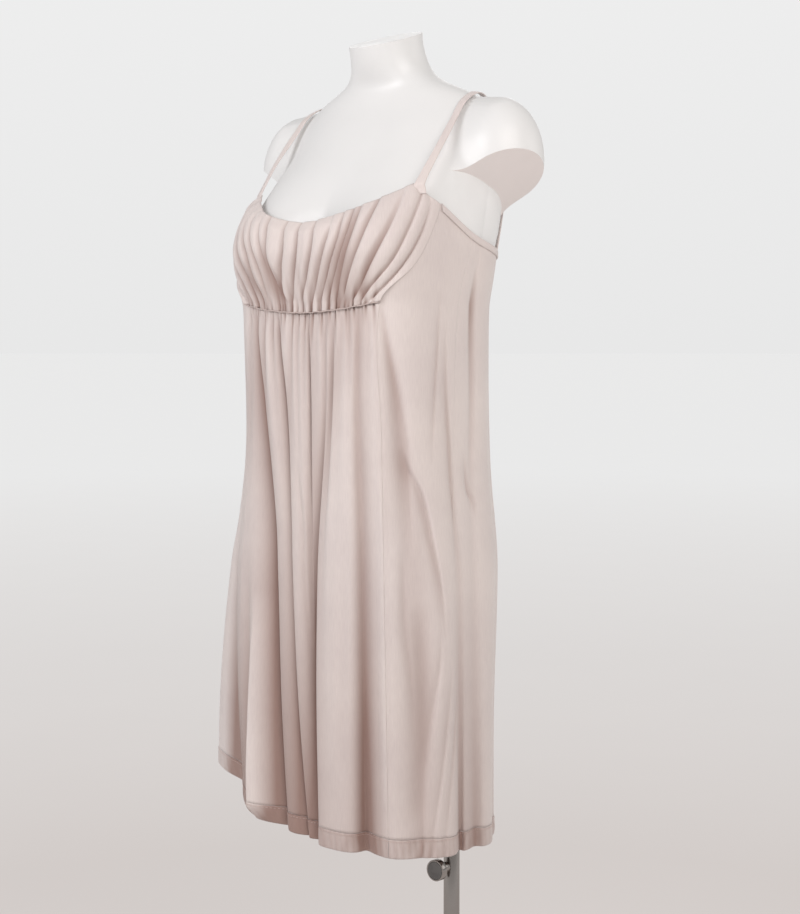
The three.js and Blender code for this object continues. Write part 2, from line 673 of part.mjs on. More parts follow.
function sideHeight(fromFront, row) {
  if (row < UPPER_ROWS.length) {
    const edge = Math.abs(angleBetween(fromFront, 0));
    return lerp(armholeZ(edge), CORNER_Z, UPPER_ROWS[row]);
  }
  const share = SKIRT_ROWS[row - UPPER_ROWS.length];
  return lerp(CORNER_Z, bandTopZ(fromFront + FRONT) + SEAM_GAP / 2, share);
}

// The columns of a side panel and of the back panel: the angle of a column at a height.
function sideColumn(sign, column, z) {
  const share = sign > 0 ? column / SIDE_COLUMNS : 1 - column / SIDE_COLUMNS;
  return sign * lerp(panelEdge(z) + GAP_ANGLE, sideSeam(z) - GAP_ANGLE, share);
}

function backColumn(column, z) {
  const start = sideSeam(z) + GAP_ANGLE;
  return lerp(start, 360 - start, column / BACK_COLUMNS);
}

function longPanel(columnAt, columns) {
  const place = (c, r) => {
    const spot = settle(
      (z) => columnAt(c, z),
      (a) => sideHeight(a, r),
    );
    return { ...spot, folds: skirtRadiusFolds(spot.fromFront, spot.z) };
  };
  return clothWall(columns, SIDE_ROWS, CLOTH, place);
}

function sidePanel(sign) {
  return longPanel((c, z) => sideColumn(sign, c, z), SIDE_COLUMNS);
}

function backPanel() {
  return longPanel(backColumn, BACK_COLUMNS);
}

// The turned hem below a panel whose columns are given.
function hemBand(columnAt, columns) {
  const rows = 2;
  const topAt = (a) => bandTopZ(a + FRONT) - SEAM_GAP / 2;
  const place = (c, r) => {
    const spot = settle(
      (z) => columnAt(c, z),
      (a) => lerp(topAt(a), hemZ(a + FRONT), r / rows),
    );
    return { ...spot, folds: skirtRadiusFolds(spot.fromFront, spot.z) };
  };
  return clothWall(columns, rows, HEM_CLOTH, place, HEM_LIFT_OUT);
}

function hemSide(sign) {
  return hemBand((c, z) => sideColumn(sign, c, z), SIDE_COLUMNS);
}

// The binding that lies on the top edge of the side and back panels.
function topBinding() {
  const columns = 64;
  const start = BODICE_ANGLE + 0.8;
  const overPanel = STEEPEST * (CLOTH - BINDING_WALL) + BINDING_WALL + SEAM_GAP;
  const place = (c, r) => {
    const fromFront = lerp(start, 360 - start, c / columns);
    const top = armholeZ(Math.min(fromFront, 360 - fromFront)) + 0.2;
    const z = top - BINDING_DEPTH * r;
    return { angle: fromFront + FRONT, z, folds: longFolds(fromFront + FRONT, z) };
  };
  return clothWall(columns, 1, BINDING_WALL, place, overPanel);
}

// ---- straps ----------------------------------------------------------------------------------

// The points of a polyline that a taut strap over it would touch.
function tautOver(points) {
  const hull = [];
  points.forEach((point) => {
    while (hull.length > 1) {
      const [before, last] = hull.slice(-2);
      const turn =
        (last.s - before.s) * (point.z - before.z) - (last.z - before.z) * (point.s - before.s);
      if (turn < 0) break;
      hull.pop();
    }
    hull.push(point);
  });
  return hull;
}

function strapFoot(fromFront, z, wall, lift) {
  const angle = fromFront + FRONT;
  const radius = clothRadius(angle, z, STEEPEST * wall, 0) + lift - wall / 2;
  return new THREE.Vector3(...clothPoint(angle, z, radius));
}

// The form's outward direction near a point, with its part across the body weighted.
function bodySlope(point, acrossWeight) {
  const step = 6;
  const slope = (dx, dy, dz) =>
    bodyDistance(point.x + dx, point.y + dy, point.z + dz) -
    bodyDistance(point.x - dx, point.y - dy, point.z - dz);
  const across = acrossWeight * slope(step, 0, 0);
  return new THREE.Vector3(across, slope(0, step, 0), slope(0, 0, step)).normalize();
}

function strapPath(sign) {
  const front = strapFoot(sign * STRAP_ANGLE, STRAP_FRONT_Z, BODICE_CLOTH, BODICE_LIFT);
  const back = strapFoot(sign * BACK_STRAP_ANGLE, STRAP_BACK_Z, CLOTH, 0);
  const along = new THREE.Vector3(back.x - front.x, back.y - front.y, 0);
  const reach = along.length();
  along.normalize();
  const profile = [{ s: 0, z: front.z }];
  const steps = 90;
  const low = STRAP_BACK_Z;
  const placeAt = (s, z) => new THREE.Vector3(front.x + s * along.x, front.y + s * along.y, z);
  for (let i = 1; i < steps; i += 1) {
    const turn = (Math.PI * i) / steps;
    const across = (length) => reach / 2 - length * Math.cos(turn);
    const above = (length) => low + length * Math.sin(turn);
    const length = reachOf((part) => {
      const { x, y, z } = placeAt(across(part), above(part));
      return bodyDistance(x, y, z) < 0;
    });
    const s = across(length);
    const z = above(length);
    const normal = bodySlope(placeAt(s, z), 1);
    const level = normal.dot(along);
    const scale = STRAP_CLEARANCE / Math.hypot(level, normal.z);
    const clear = { s: s + level * scale, z: z + normal.z * scale };
    const foot = i < steps / 2 ? front : back;
    if (clear.z > foot.z + 4) profile.push(clear);
  }
  profile.push({ s: reach, z: back.z });
  const curve = tautOver(profile).map(({ s, z }) => placeAt(s, z));
  return new THREE.CatmullRomCurve3(curve, false, "centripetal").getSpacedPoints(STRAP_STEPS);
}

// A flat strap along its path, upright at both ends.
function strap(sign) {
  const path = strapPath(sign);
  const points = [];
  path.forEach((point, i) => {
    const before = path[Math.max(i - 1, 0)];
    const after = path[Math.min(i + 1, path.length - 1)];
    const tangent = new THREE.Vector3().subVectors(after, before).normalize();
    const normal = bodySlope(point, STRAP_FACING);
    const wide = new THREE.Vector3().crossVectors(tangent, normal).normalize();
    const isEnd = i === 0 || i === path.length - 1;
    if (isEnd) wide.setZ(0).normalize();
    const out = new THREE.Vector3().crossVectors(wide, tangent).normalize();
    if (isEnd) out.setZ(0).normalize();
    [[-1, -1], [1, -1], [1, 1], [-1, 1]].forEach(([w, o]) => {
      const corner = point.clone();
      corner.addScaledVector(wide, (w * STRAP_WIDTH) / 2);
      corner.addScaledVector(out, (o * STRAP_THICKNESS) / 2);
      points.push(corner.toArray());
    });
  });
  const triangles = [];
  const last = (path.length - 1) * 4;
  for (let i = 0; i < last; i += 4) {
    for (let k = 0; k < 4; k += 1) {
      const a = i + k;
      const b = i + ((k + 1) % 4);
      triangles.push([a, b + 4, b], [a, a + 4, b + 4]);
    }
  }
  triangles.push([0, 1, 2], [0, 2, 3], [last, last + 2, last + 1], [last, last + 3, last + 2]);
  return closedGeometry(points, triangles);
}

// ---- the stand -------------------------------------------------------------------------------

// A solid of revolution about an upright axis from its closed half outline, given as [radius, z].
function turned(outline, x, y, segments) {
  const points = outline.map(([radius, z]) => new THREE.Vector2(radius, z));
  const geometry = new THREE.LatheGeometry(points, segments);
  geometry.deleteAttribute("uv");
  geometry.deleteAttribute("normal");
  geometry.rotateX(Math.PI / 2);
  geometry.translate(x, y, 0);
  const merged = mergeVertices(geometry, 1e-4);
  merged.computeVertexNormals();
  return merged;
}

// A tube or, with no inner radius, a rod, standing at the pole.
function upright(inner, outer, bottom, top, segments = 28) {
  const outline = [[inner, bottom], [outer, bottom], [outer, top], [inner, top]];
  if (inner > 0) outline.push([inner, bottom]);
  return turned(outline, POLE_X, POLE_Y, segments);
}

function basePlate() {
  const edge = 2;
  const outline = [
    [0, 0],
    [PLATE_RADIUS - edge, 0],
    [PLATE_RADIUS, edge],
    [PLATE_RADIUS, PLATE_THICKNESS - edge],
    [PLATE_RADIUS - edge, PLATE_THICKNESS],
    [0, PLATE_THICKNESS],
  ];
  return turned(outline, 0, 0, 48);
}

function plateSocket() {
  const bottom = PLATE_THICKNESS + PART_GAP;
  return upright(OUTER_TUBE_RADIUS + PART_GAP, PLATE_SOCKET_RADIUS, bottom, PLATE_SOCKET_TOP_Z);
}

function outerTube() {
  const inner = INNER_TUBE_RADIUS + TUBE_RUNNING_GAP;
  return upright(inner, OUTER_TUBE_RADIUS, PLATE_THICKNESS + PART_GAP, OUTER_TUBE_TOP_Z);
}

const SOCKET_TOP_Z = FORM_BOTTOM_Z - PART_GAP;
const SOCKET_BOTTOM_Z = SOCKET_TOP_Z - SOCKET_HEIGHT;

function innerTube() {
  const top = SOCKET_BOTTOM_Z + SOCKET_BORE_DEPTH - PART_GAP;
  return upright(INNER_TUBE_RADIUS - INNER_TUBE_WALL, INNER_TUBE_RADIUS, INNER_TUBE_BOTTOM_Z, top);
}

// The cup under the form that its pole stands in.
function formSocket() {
  const bore = INNER_TUBE_RADIUS + PART_GAP;
  const outline = [
    [0, SOCKET_BOTTOM_Z + SOCKET_BORE_DEPTH],
    [bore, SOCKET_BOTTOM_Z + SOCKET_BORE_DEPTH],
    [bore, SOCKET_BOTTOM_Z],
    [SOCKET_RADIUS - 2, SOCKET_BOTTOM_Z],
    [SOCKET_RADIUS, SOCKET_BOTTOM_Z + 2],
    [SOCKET_RADIUS, SOCKET_TOP_Z],
    [0, SOCKET_TOP_Z],
  ];
  return turned(outline, POLE_X, POLE_Y, 28);
}

// A solid of revolution about a level axis that runs forward from the pole at the knob's height.
function levelTurned(outline, segments) {
  const geometry = turned(outline, 0, 0, segments);
  geometry.rotateX(Math.PI / 2);
  geometry.translate(POLE_X, POLE_Y, KNOB_Z);
  return geometry;
}

const BOSS_START = OUTER_TUBE_RADIUS + PART_GAP;
const HUB_START = BOSS_START + BOSS_LENGTH + PART_GAP;
const DISC_START = HUB_START + HUB_LENGTH;
const DISC_END = DISC_START + KNOB_LENGTH;
const KNOB_RECESS = 1.2;

function knobBoss() {
  const end = BOSS_START + BOSS_LENGTH;
  return levelTurned([[0, BOSS_START], [BOSS_RADIUS, BOSS_START], [BOSS_RADIUS, end], [0, end]], 24);
}

function knob() {
  const outline = [
    [0, HUB_START],
    [BOSS_RADIUS, HUB_START],
    [BOSS_RADIUS, DISC_START],
    [KNOB_RADIUS - 1, DISC_START],
    [KNOB_RADIUS, DISC_START + 1],
    [KNOB_RADIUS, DISC_END - 1],
    [KNOB_RADIUS - 1, DISC_END],
    [KNOB_RADIUS - KNOB_RIM, DISC_END],
    [KNOB_RADIUS - KNOB_RIM, DISC_END - KNOB_RECESS],
    [0, DISC_END - KNOB_RECESS],
  ];
  return levelTurned(outline, 26);
}

function knobFace() {
  const radius = KNOB_RADIUS - KNOB_RIM - PART_GAP;
  const start = DISC_END - KNOB_RECESS + PART_GAP;
  const end = DISC_END - 0.1;
  return levelTurned([[0, start], [radius, start], [radius, end], [0, end]], 26);
}

// ---- the part --------------------------------------------------------------------------------

const part = new THREE.Group();
part.name = "pinafore_dress_on_form";
const add = (name, geometry, material) => part.add(meshOf(name, geometry, material.clone()));

add("front_bodice", bodiceFront(), JERSEY);
add("front_skirt", frontSkirt(), JERSEY);
add("side_panel_left", sidePanel(1), JERSEY);
add("side_panel_right", sidePanel(-1), JERSEY);
add("back_panel", backPanel(), JERSEY);
add("hem_front", hemBand(gatherColumn, GATHER_COLUMNS), JERSEY);
add("hem_left", hemSide(1), JERSEY);
add("hem_right", hemSide(-1), JERSEY);
add("hem_back", hemBand(backColumn, BACK_COLUMNS), JERSEY);
add("top_binding", topBinding(), JERSEY);
add("strap_left", strap(1), JERSEY);
add("strap_right", strap(-1), JERSEY);
add("torso", formBody(), FORM_SHELL);
add("form_socket", formSocket(), CHROME);
add("inner_tube", innerTube(), CHROME);
add("outer_tube", outerTube(), CHROME);
add("knob_boss", knobBoss(), CHROME);
add("knob", knob(), CHROME);
add("knob_face", knobFace(), KNOB_GREY);
add("base_socket", plateSocket(), CHROME);
add("base_plate", basePlate(), PLATE_METAL);

export default part;
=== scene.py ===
"""An empire-line strap dress in fine jersey, worn by a dress form on a telescopic stand.

Tables are in millimetres and degrees, and meshes in metres. The front faces -Y, the wearer's left
is +X, and angles round the dress run from the centre front towards the wearer's left.
"""

from __future__ import annotations

import logging
import math
from dataclasses import dataclass, field
from enum import Enum
from typing import Callable, Sequence

import bpy
import numpy as np
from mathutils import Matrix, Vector


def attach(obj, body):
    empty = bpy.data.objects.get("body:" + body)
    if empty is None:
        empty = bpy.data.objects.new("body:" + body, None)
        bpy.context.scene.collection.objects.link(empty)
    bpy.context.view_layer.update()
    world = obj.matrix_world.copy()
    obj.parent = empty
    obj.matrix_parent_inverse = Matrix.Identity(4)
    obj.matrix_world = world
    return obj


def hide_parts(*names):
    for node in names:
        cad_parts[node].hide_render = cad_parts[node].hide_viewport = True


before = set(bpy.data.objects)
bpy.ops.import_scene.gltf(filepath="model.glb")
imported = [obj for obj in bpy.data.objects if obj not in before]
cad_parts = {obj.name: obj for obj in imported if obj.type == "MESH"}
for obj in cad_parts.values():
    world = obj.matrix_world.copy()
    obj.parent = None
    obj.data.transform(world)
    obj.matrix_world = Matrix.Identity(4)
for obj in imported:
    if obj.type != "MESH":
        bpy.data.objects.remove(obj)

LOG = logging.getLogger("dress")
MM = 0.001
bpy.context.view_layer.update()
Array = np.ndarray


# ---- tables and small mathematics --------------------------------------------------------------


class Table:
    """A short table whose columns are read on smooth curves through its rows."""

    def __init__(self, columns: str, rows: Sequence[Sequence[float]]) -> None:
        """Sorts the rows by the first column, which is the one that is looked up.

        Args:
            columns: The columns' names, with spaces between them.
            rows: The rows, each with a value for every column.
        """
        self.names = columns.split()
        data = np.array(rows, dtype=float)
        self.data = data[np.argsort(data[:, 0])]
        self.keys = self.data[:, 0]

    def at(self, column: str, where: Array | float) -> Array:
        """Reads a column.

        Args:
            column: The column's name.
            where: Values of the first column, held within the table.

        Returns:
            The column's values there.
        """
        keys, last = self.keys, len(self.keys) - 1
        values = self.data[:, self.names.index(column)]
        x = np.clip(np.asarray(where, dtype=float), keys[0], keys[last])
        i = np.clip(np.searchsorted(keys, x, side="left") - 1, 0, last - 1)
        before = np.maximum(np.arange(last + 1) - 1, 0)
        after = np.minimum(np.arange(last + 1) + 1, last)
        slopes = (values[after] - values[before]) / (keys[after] - keys[before])
        span = keys[i + 1] - keys[i]
        t = (x - keys[i]) / span
        return (
            (2 * t**3 - 3 * t**2 + 1) * values[i]
            + (t**3 - 2 * t**2 + t) * span * slopes[i]
            + (3 * t**2 - 2 * t**3) * values[i + 1]
            + (t**3 - t**2) * span * slopes[i + 1]
        )


def ring_radius(turn: Array, side: Array, front: Array, back: Array, powers: tuple) -> Array:
    """The radius of a rounded ring that is longer to the front than to the back.

    Args:
        turn: Angles from the wearer's left, in radians.
        side: Half widths.
        front: Depths to the front.
        back: Depths to the back.
        powers: How square the ring is at the front and at the back.

    Returns:
        The radii.
    """
    across, along = np.abs(np.cos(turn)), np.sin(turn)
    depth = np.where(along < 0, front, back)
    power = np.where(along < 0, *powers)
    return ((across / side) ** power + (np.abs(along) / depth) ** power) ** (-1 / power)


def valley(offset: Array, left: Array | float, right: Array | float) -> Array:
    """A trough that is 1 at its bottom and falls away to the width given for each side."""
    t = offset / np.where(offset < 0, left, right)
    return 1 / (1 + t * t) ** 1.2


def hill(offset: Array) -> Array:
    """A soft bump, 1 at its top and about nothing two widths away."""
    return np.exp(-offset * offset)


def crest(offset: Array) -> Array:
    """A bump that starts at nothing and is 1 a little more than one width to the right."""
    share = (np.maximum(offset, 0) / 1.2) ** 2
    return share * np.exp(1 - share)


def turn_between(a: Array | float, b: Array | float) -> Array:
    """The signed angle from b to a, in degrees."""
    return (np.asarray(a) - b + 540) % 360 - 180


def blend_max(a: Array, b: Array, width: float) -> Array:
    """The greater of two values, rounded where they meet."""
    share = np.clip((width - np.abs(a - b)) / width, 0, 1)
    return np.maximum(a, b) + share * share * width / 4


# ---- the shape of the form ---------------------------------------------------------------------

FORM = Table(
    "z half front back middle front_power back_power",
    [
        (790, 144, -84, 92, 4, 2.3, 2.3),
        (860, 154, -90, 105, 6, 2.2, 2.2),
        (930, 148, -94, 99, 4, 2.2, 2.2),
        (1010, 130, -90, 82, 0, 2.2, 2.2),
        (1080, 118, -86, 73, -4, 2.2, 2.2),
        (1120, 120, -90, 73, -6, 2.4, 2.2),
        (1180, 137, -106, 86, -6, 3, 2.3),
        (1240, 154, -120, 100, 0, 3.6, 2.4),
        (1290, 161, -122, 108, 5, 3.7, 2.4),
        (1330, 162, -104, 110, 10, 3.2, 2.4),
        (1370, 158, -78, 104, 15, 2.5, 2.3),
        (1405, 153, -57, 94, 20, 2.2, 2.1),
        (1432, 142, -42, 82, 22, 2, 2),
        (1449, 121, -35, 74, 21, 2, 2),
        (1459, 99, -33, 70, 20, 2, 2),
        (1467, 80, -35, 67, 18, 2, 2),
        (1477, 64, -40, 63, 14, 2, 2),
        (1490, 55, -46, 58, 8, 2, 2),
        (1508, 51, -52, 50, 1, 2, 2),
        (1526, 50, -57, 45, -5, 2, 2),
    ],
)
AXIS_Y = -20.0  # the upright axis that the cloth is measured from


def torso_distance(x: Array, y: Array, z: Array) -> Array:
    """How far points are outside the torso, measured level from the middle of their ring.

    Args:
        x: Places across, in millimetres.
        y: Places in depth.
        z: Heights.

    Returns:
        The distances, which are negative inside.
    """
    middle = FORM.at("middle", z)
    turn = np.arctan2(y - middle, x)
    radius = ring_radius(
        turn,
        FORM.at("half", z),
        middle - FORM.at("front", z),
        FORM.at("back", z) - middle,
        (FORM.at("front_power", z), FORM.at("back_power", z)),
    )
    bust = 42 * np.sqrt(np.maximum(0, -np.sin(turn)))
    bust = bust * hill(np.hypot((np.abs(x) - 96) / 62, (z - 1242) / 66))
    return np.hypot(x, y - middle) - radius - bust


def body_distance(x: Array, y: Array, z: Array) -> Array:
    """How far points are outside the torso with its upper arms.

    Args:
        x: Places across, in millimetres.
        y: Places in depth.
        z: Heights.

    Returns:
        The distances, which are negative inside.
    """
    torso = torso_distance(x, y, z)
    to_arm = ((np.abs(x) - 172) / 60) ** 2 + ((y - 20) / 57) ** 2 + ((z - 1356) / 82) ** 2
    arm = (np.sqrt(to_arm) - 1) * 60
    share = np.clip(0.5 + (arm - torso) / 60, 0, 1)
    return arm + (torso - arm) * share - 30 * share * (1 - share)


def reach(distance: Callable, origin_y: Array | float, turn: Array, z: Array) -> Array:
    """Where level rays leave a body, found by halving.

    Args:
        distance: The body's distance function.
        origin_y: Where on the middle plane the rays start.
        turn: Their angles from the wearer's left, in radians.
        z: Their heights.

    Returns:
        The lengths of the rays.
    """
    inside, outside = np.zeros(np.shape(turn)), np.full(np.shape(turn), 400.0)
    for _ in range(22):
        half = (inside + outside) / 2
        is_in = distance(half * np.cos(turn), origin_y + half * np.sin(turn), z) < 0
        inside, outside = np.where(is_in, half, inside), np.where(is_in, outside, half)
    return (inside + outside) / 2


# ---- the shape of the cloth --------------------------------------------------------------------

CLOTH = Table(
    "z side front back front_power back_power sway",
    [
        (450, 212, 160, 149, 2.8, 1.8, -24),
        (640, 200, 162, 140, 3.1, 1.85, -16),
        (820, 184, 158, 137, 3.4, 2, -5),
        (880, 175, 156, 134, 3.5, 2, -1),
        (960, 166, 155, 131, 3.6, 2, 0),
        (1060, 162, 154, 128, 3.7, 2, 0),
        (1130, 159, 153, 126, 3.7, 2.1, 0),
        (1168, 159, 151, 126, 3.8, 2.1, 0),
        (1200, 162, 158, 128, 4, 2.2, 0),
        (1235, 165, 163, 130, 4.2, 2.3, 0),
        (1268, 166, 155, 133, 4, 2.3, 0),
        (1300, 168, 138, 136, 3.4, 2.3, 0),
        (1340, 168, 116, 138, 2.8, 2.3, 0),
    ],
)
HEM_LIFT = Table(
    "turn lift",
    [(-190, 52), (-180, 60), (-155, 58), (-130, 30), (-90, 8), (-50, 1), (0, -1)]
    + [(40, 0), (90, 10), (140, 32), (170, 52), (180, 60)],
)
SIDE_SEAM = Table(
    "z angle", [(1320, 90), (1265, 89), (1180, 81), (1000, 76), (700, 74), (480, 79)]
)
PANEL_EDGE = Table(
    "z angle",
    [(1340, 70), (1294, 67), (1256, 62), (1216, 54.5), (1171, 41.6), (1000, 42), (480, 45)],
)
ARMHOLE = Table(
    "angle z", [(55, 1324), (67, 1294), (90, 1257), (117, 1241), (150, 1236), (180, 1234)]
)
HEM_Z, HEM_BAND = 462.0, 25.0  # the hem's lower edge at the side, and the depth of its band
EMPIRE_Z, NECK_Z = 1158.0, 1274.5  # the empire seam and the neckline at the centre front
SEAM_GAP = 0.3  # between two rigid neighbours, so that they don't touch
SEAM_SHARE = 0.06  # half the gap between two panels, in degrees
CLOTH_RADIUS = 0.17  # the dress's mean radius in metres, for the scale of its weave
STRAP_CENTRE_Z = 1300.0  # a level inside the shoulder that a strap runs round, seen from the side
INNER_PAINTED_SHADE = 0.15  # how much painted shade the cloth's inner face gets, as if it lay that deep in a fold


def body_slope(points: Array) -> Array:
    """The form's outward direction near points, with its part across the body weighted.

    Args:
        points: The places, in millimetres.

    Returns:
        A unit vector for each of them.
    """
    step, weights = 6, (0.7, 1, 1)
    sides = [[body_distance(*(points + way).T) for way in np.eye(3) * sign] for sign in (step, -step)]
    slope = (np.array(sides[0]) - sides[1]).T * weights
    return slope / np.linalg.norm(slope, axis=1, keepdims=True)


def strap_route() -> Table:
    """Reads the middle line of the left strap from its CAD node, ring by ring, from front to back.

    Returns:
        A table of each second ring's place and of the form's slope there.
    """
    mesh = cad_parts["strap_left"].data
    corners = np.empty(len(mesh.vertices) * 3, np.float32)
    mesh.vertices.foreach_get("co", corners)
    corners = np.unique(corners.reshape(-1, 3), axis=0) / MM
    turn = np.arctan2(corners[:, 2] - STRAP_CENTRE_Z, AXIS_Y - corners[:, 1]) % (2 * np.pi)
    places = corners[np.argsort(turn)].reshape(-1, 4, 3).mean(axis=1)[::2]
    rows = np.column_stack([np.arange(len(places)), places, body_slope(places)])
    return Table("s x y z nx ny nz", rows)


STRAP = strap_route()

FOLD_LEVELS = (1158, 1040, 840, 470)  # where the angle and depth of each hanging fold are given
GATHER_WIDTH, LONG_FOLD_WIDTH = 1.7, 4.0  # the half width of a fold at its top, in degrees


@dataclass(frozen=True)
class Fold:
    """A hanging fold: where it is, and how deep, at each of the fold levels.

    Attributes:
        angles: Degrees from the centre front.
        depths: Depths. A negative one is a ridge.
        left: The width of its left side at the hem, in degrees.
        right: The width of its right side there.
        lean: How far its right crest laps over it at the hem, in degrees.
    """

    angles: tuple[float, ...]
    depths: tuple[float, ...]
    left: float
    right: float
    lean: float = 0.0

    def shape(self, z: Array, top_width: float) -> tuple[Array, Array, Array, Array]:
        """Its place, depth and widths at a height.

        Args:
            z: Heights.
            top_width: Its half width at the empire seam, in degrees.

        Returns:
            Its angles, its depths, and the widths of its left and right side.
        """
        rows = Table("z angle deep", list(zip(FOLD_LEVELS, self.angles, self.depths)))
        down = np.sqrt(np.clip((FOLD_LEVELS[0] - z) / (FOLD_LEVELS[0] - FOLD_LEVELS[-1]), 0, 1))
        left = top_width + (self.left - top_width) * down
        right = top_width + (self.right - top_width) * down
        return rows.at("angle", z), rows.at("deep", z), left, right

    def sink(self, f: Array, z: Array, top_width: float) -> Array:
        """How deep the fold lies at places given by angle and height."""
        angle, deep, left, right = self.shape(z, top_width)
        return deep * valley(turn_between(f, angle), left, right)

    def lap(self, f: Array, z: Array, top_width: float) -> Array:
        """How far places move to the left, in degrees, where the crest laps over the fold.

        Args:
            f: Angles of the places.
            z: Heights of the places.
            top_width: Its half width at the empire seam, in degrees.

        Returns:
            The degrees.
        """
        if not self.lean:
            return np.zeros(np.shape(f))
        angle, deep, _, right = self.shape(z, top_width)
        share = np.clip(deep / max(self.depths), 0, 1)
        return self.lean * share * crest(turn_between(f, angle) / right)


@dataclass(frozen=True)
class Crease:
    """A single soft crease that the cloth shows between its hanging folds.

    Attributes:
        rows: Its height, angle and depth along its length. A negative depth is a ridge.
        left: The width of its left side, in degrees.
        right: The width of its right side.
        runs_on: Whether it goes on past its ends, as a pleat does into a seam.
    """

    rows: tuple[tuple[float, float, float], ...]
    left: float
    right: float
    runs_on: bool = False

    def sink(self, f: Array, z: Array) -> Array:
        """How deep it lies at places given by angle and height.

        Args:
            f: Angles of the places.
            z: Heights of the places.

        Returns:
            The depths.
        """
        table = Table("z angle deep", self.rows)
        deep, offset = table.at("deep", z), turn_between(f, table.at("angle", z))
        if self.runs_on:
            return deep * valley(offset, self.left, self.right)
        ends = np.clip((z - table.keys[0]) / 24, 0, 1) * np.clip((table.keys[-1] - z) / 24, 0, 1)
        return deep * ends * hill(offset / np.where(offset < 0, self.left, self.right))

    def lap(self, f: Array, z: Array) -> Array:
        """How far its right crest laps over it, in degrees.

        Args:
            f: Angles of the places.
            z: Heights of the places.

        Returns:
            The degrees.
        """
        table = Table("z angle deep", self.rows)
        share = np.clip(table.at("deep", z) / 9, 0, 1)
        return 1.1 * self.right * share * crest(turn_between(f, table.at("angle", z)) / self.right)


def creases(runs_on: bool, *lines: tuple) -> list[Crease]:
    """Makes creases from lines that hold their left and right widths and the points along them.

    Args:
        runs_on: Whether they go on past their ends.
        lines: One line for each crease.

    Returns:
        The creases.
    """
    return [Crease(tuple(points), left, right, runs_on) for left, right, *points in lines]


GATHERS = [
    Fold((-39.5, -40, -44, -44), (4, 3, 0, 0), 5, 4),
    Fold((-34, -30, -21, -15), (7, 16, 32, 34), 9, 3.8, 5),
    Fold((-28.5, -25.5, -17, -11), (5, 4, 0, 0), 4, 3),
    Fold((-23, -19.5, -13, -6.5), (5, 3, 0, 0), 4, 3),
    Fold((-18.5, -13.5, -9, -1.5), (6, 16, 16, 22), 6, 3.2, 3.6),
    Fold((-10.5, -9, -5, 0.8), (5, 4, 0, 0), 4, 3),
    Fold((-6, -4.5, -2, 2.4), (5, 4, 2, 0), 4, 3),
    Fold((-2, -0.5, 0.5, 4), (5, 3, 0, 0), 4, 3),
    Fold((2.5, 4.5, 3, 5.5), (6, 13, 9, 3), 4, 2.8, 2.6),
    Fold((8, 8.5, 6, 7), (5, 3, 0, 0), 4, 3),
    Fold((14, 13.5, 9, 8.6), (6, 8, 22, 26), 6, 3.2, 4),
    Fold((19, 18.5, 14, 14), (5, 10, 4, 0), 4, 2.6, 2),
    Fold((24, 22.5, 20, 20), (5, 4, 0, 0), 4, 3),
    Fold((28, 27, 26, 26), (5, 2, 0, 0), 4, 3),
    Fold((32, 31.5, 33.6, 34.4), (6.5, 9.6, 17, 26), 4, 6.8, 0.4),
    Fold((37, 36.5, 37, 38), (4, 2, 0, 0), 4, 3),
]
LONG_FOLDS = [
    Fold((43, 48, 52, 52), (2, 8, 6, 0), 6, 5),
    Fold((56, 56, 57, 58), (0, 0, 5, 9), 7, 7),
    Fold((74, 74, 76, 79), (0, 0, 6, 18), 5, 4, 3),
    Fold((93, 91, 86, 89), (9, 8, 5, 15), 5, 4, 2),
    Fold((110, 110, 108, 106), (0, 2, 4, 12), 6, 5),
    Fold((128, 128, 127, 125), (2, 5, 7, 14), 6, 5),
    Fold((146, 147, 148, 146), (0, 2, 5, 12), 6, 6),
    Fold((166, 167, 168, 167), (2, 4, 6, 15), 6, 5),
    Fold((190, 189, 188, 187), (0, 3, 5, 12), 6, 6),
    Fold((212, 211, 210, 208), (2, 5, 7, 15), 6, 6),
    Fold((232, 232, 231, 230), (0, 2, 5, 12), 6, 6),
    Fold((252, 253, 254, 252), (2, 4, 6, 13), 5, 6),
    Fold((267, 269, 272, 262), (7, 6, 3, 10), 5, 5),
    Fold((300, 300, 297, 280), (0, 0, -10, -34), 12, 9),
    Fold((317, 312, 308, 302), (2, 9, 12, 50), 9, 20),
]
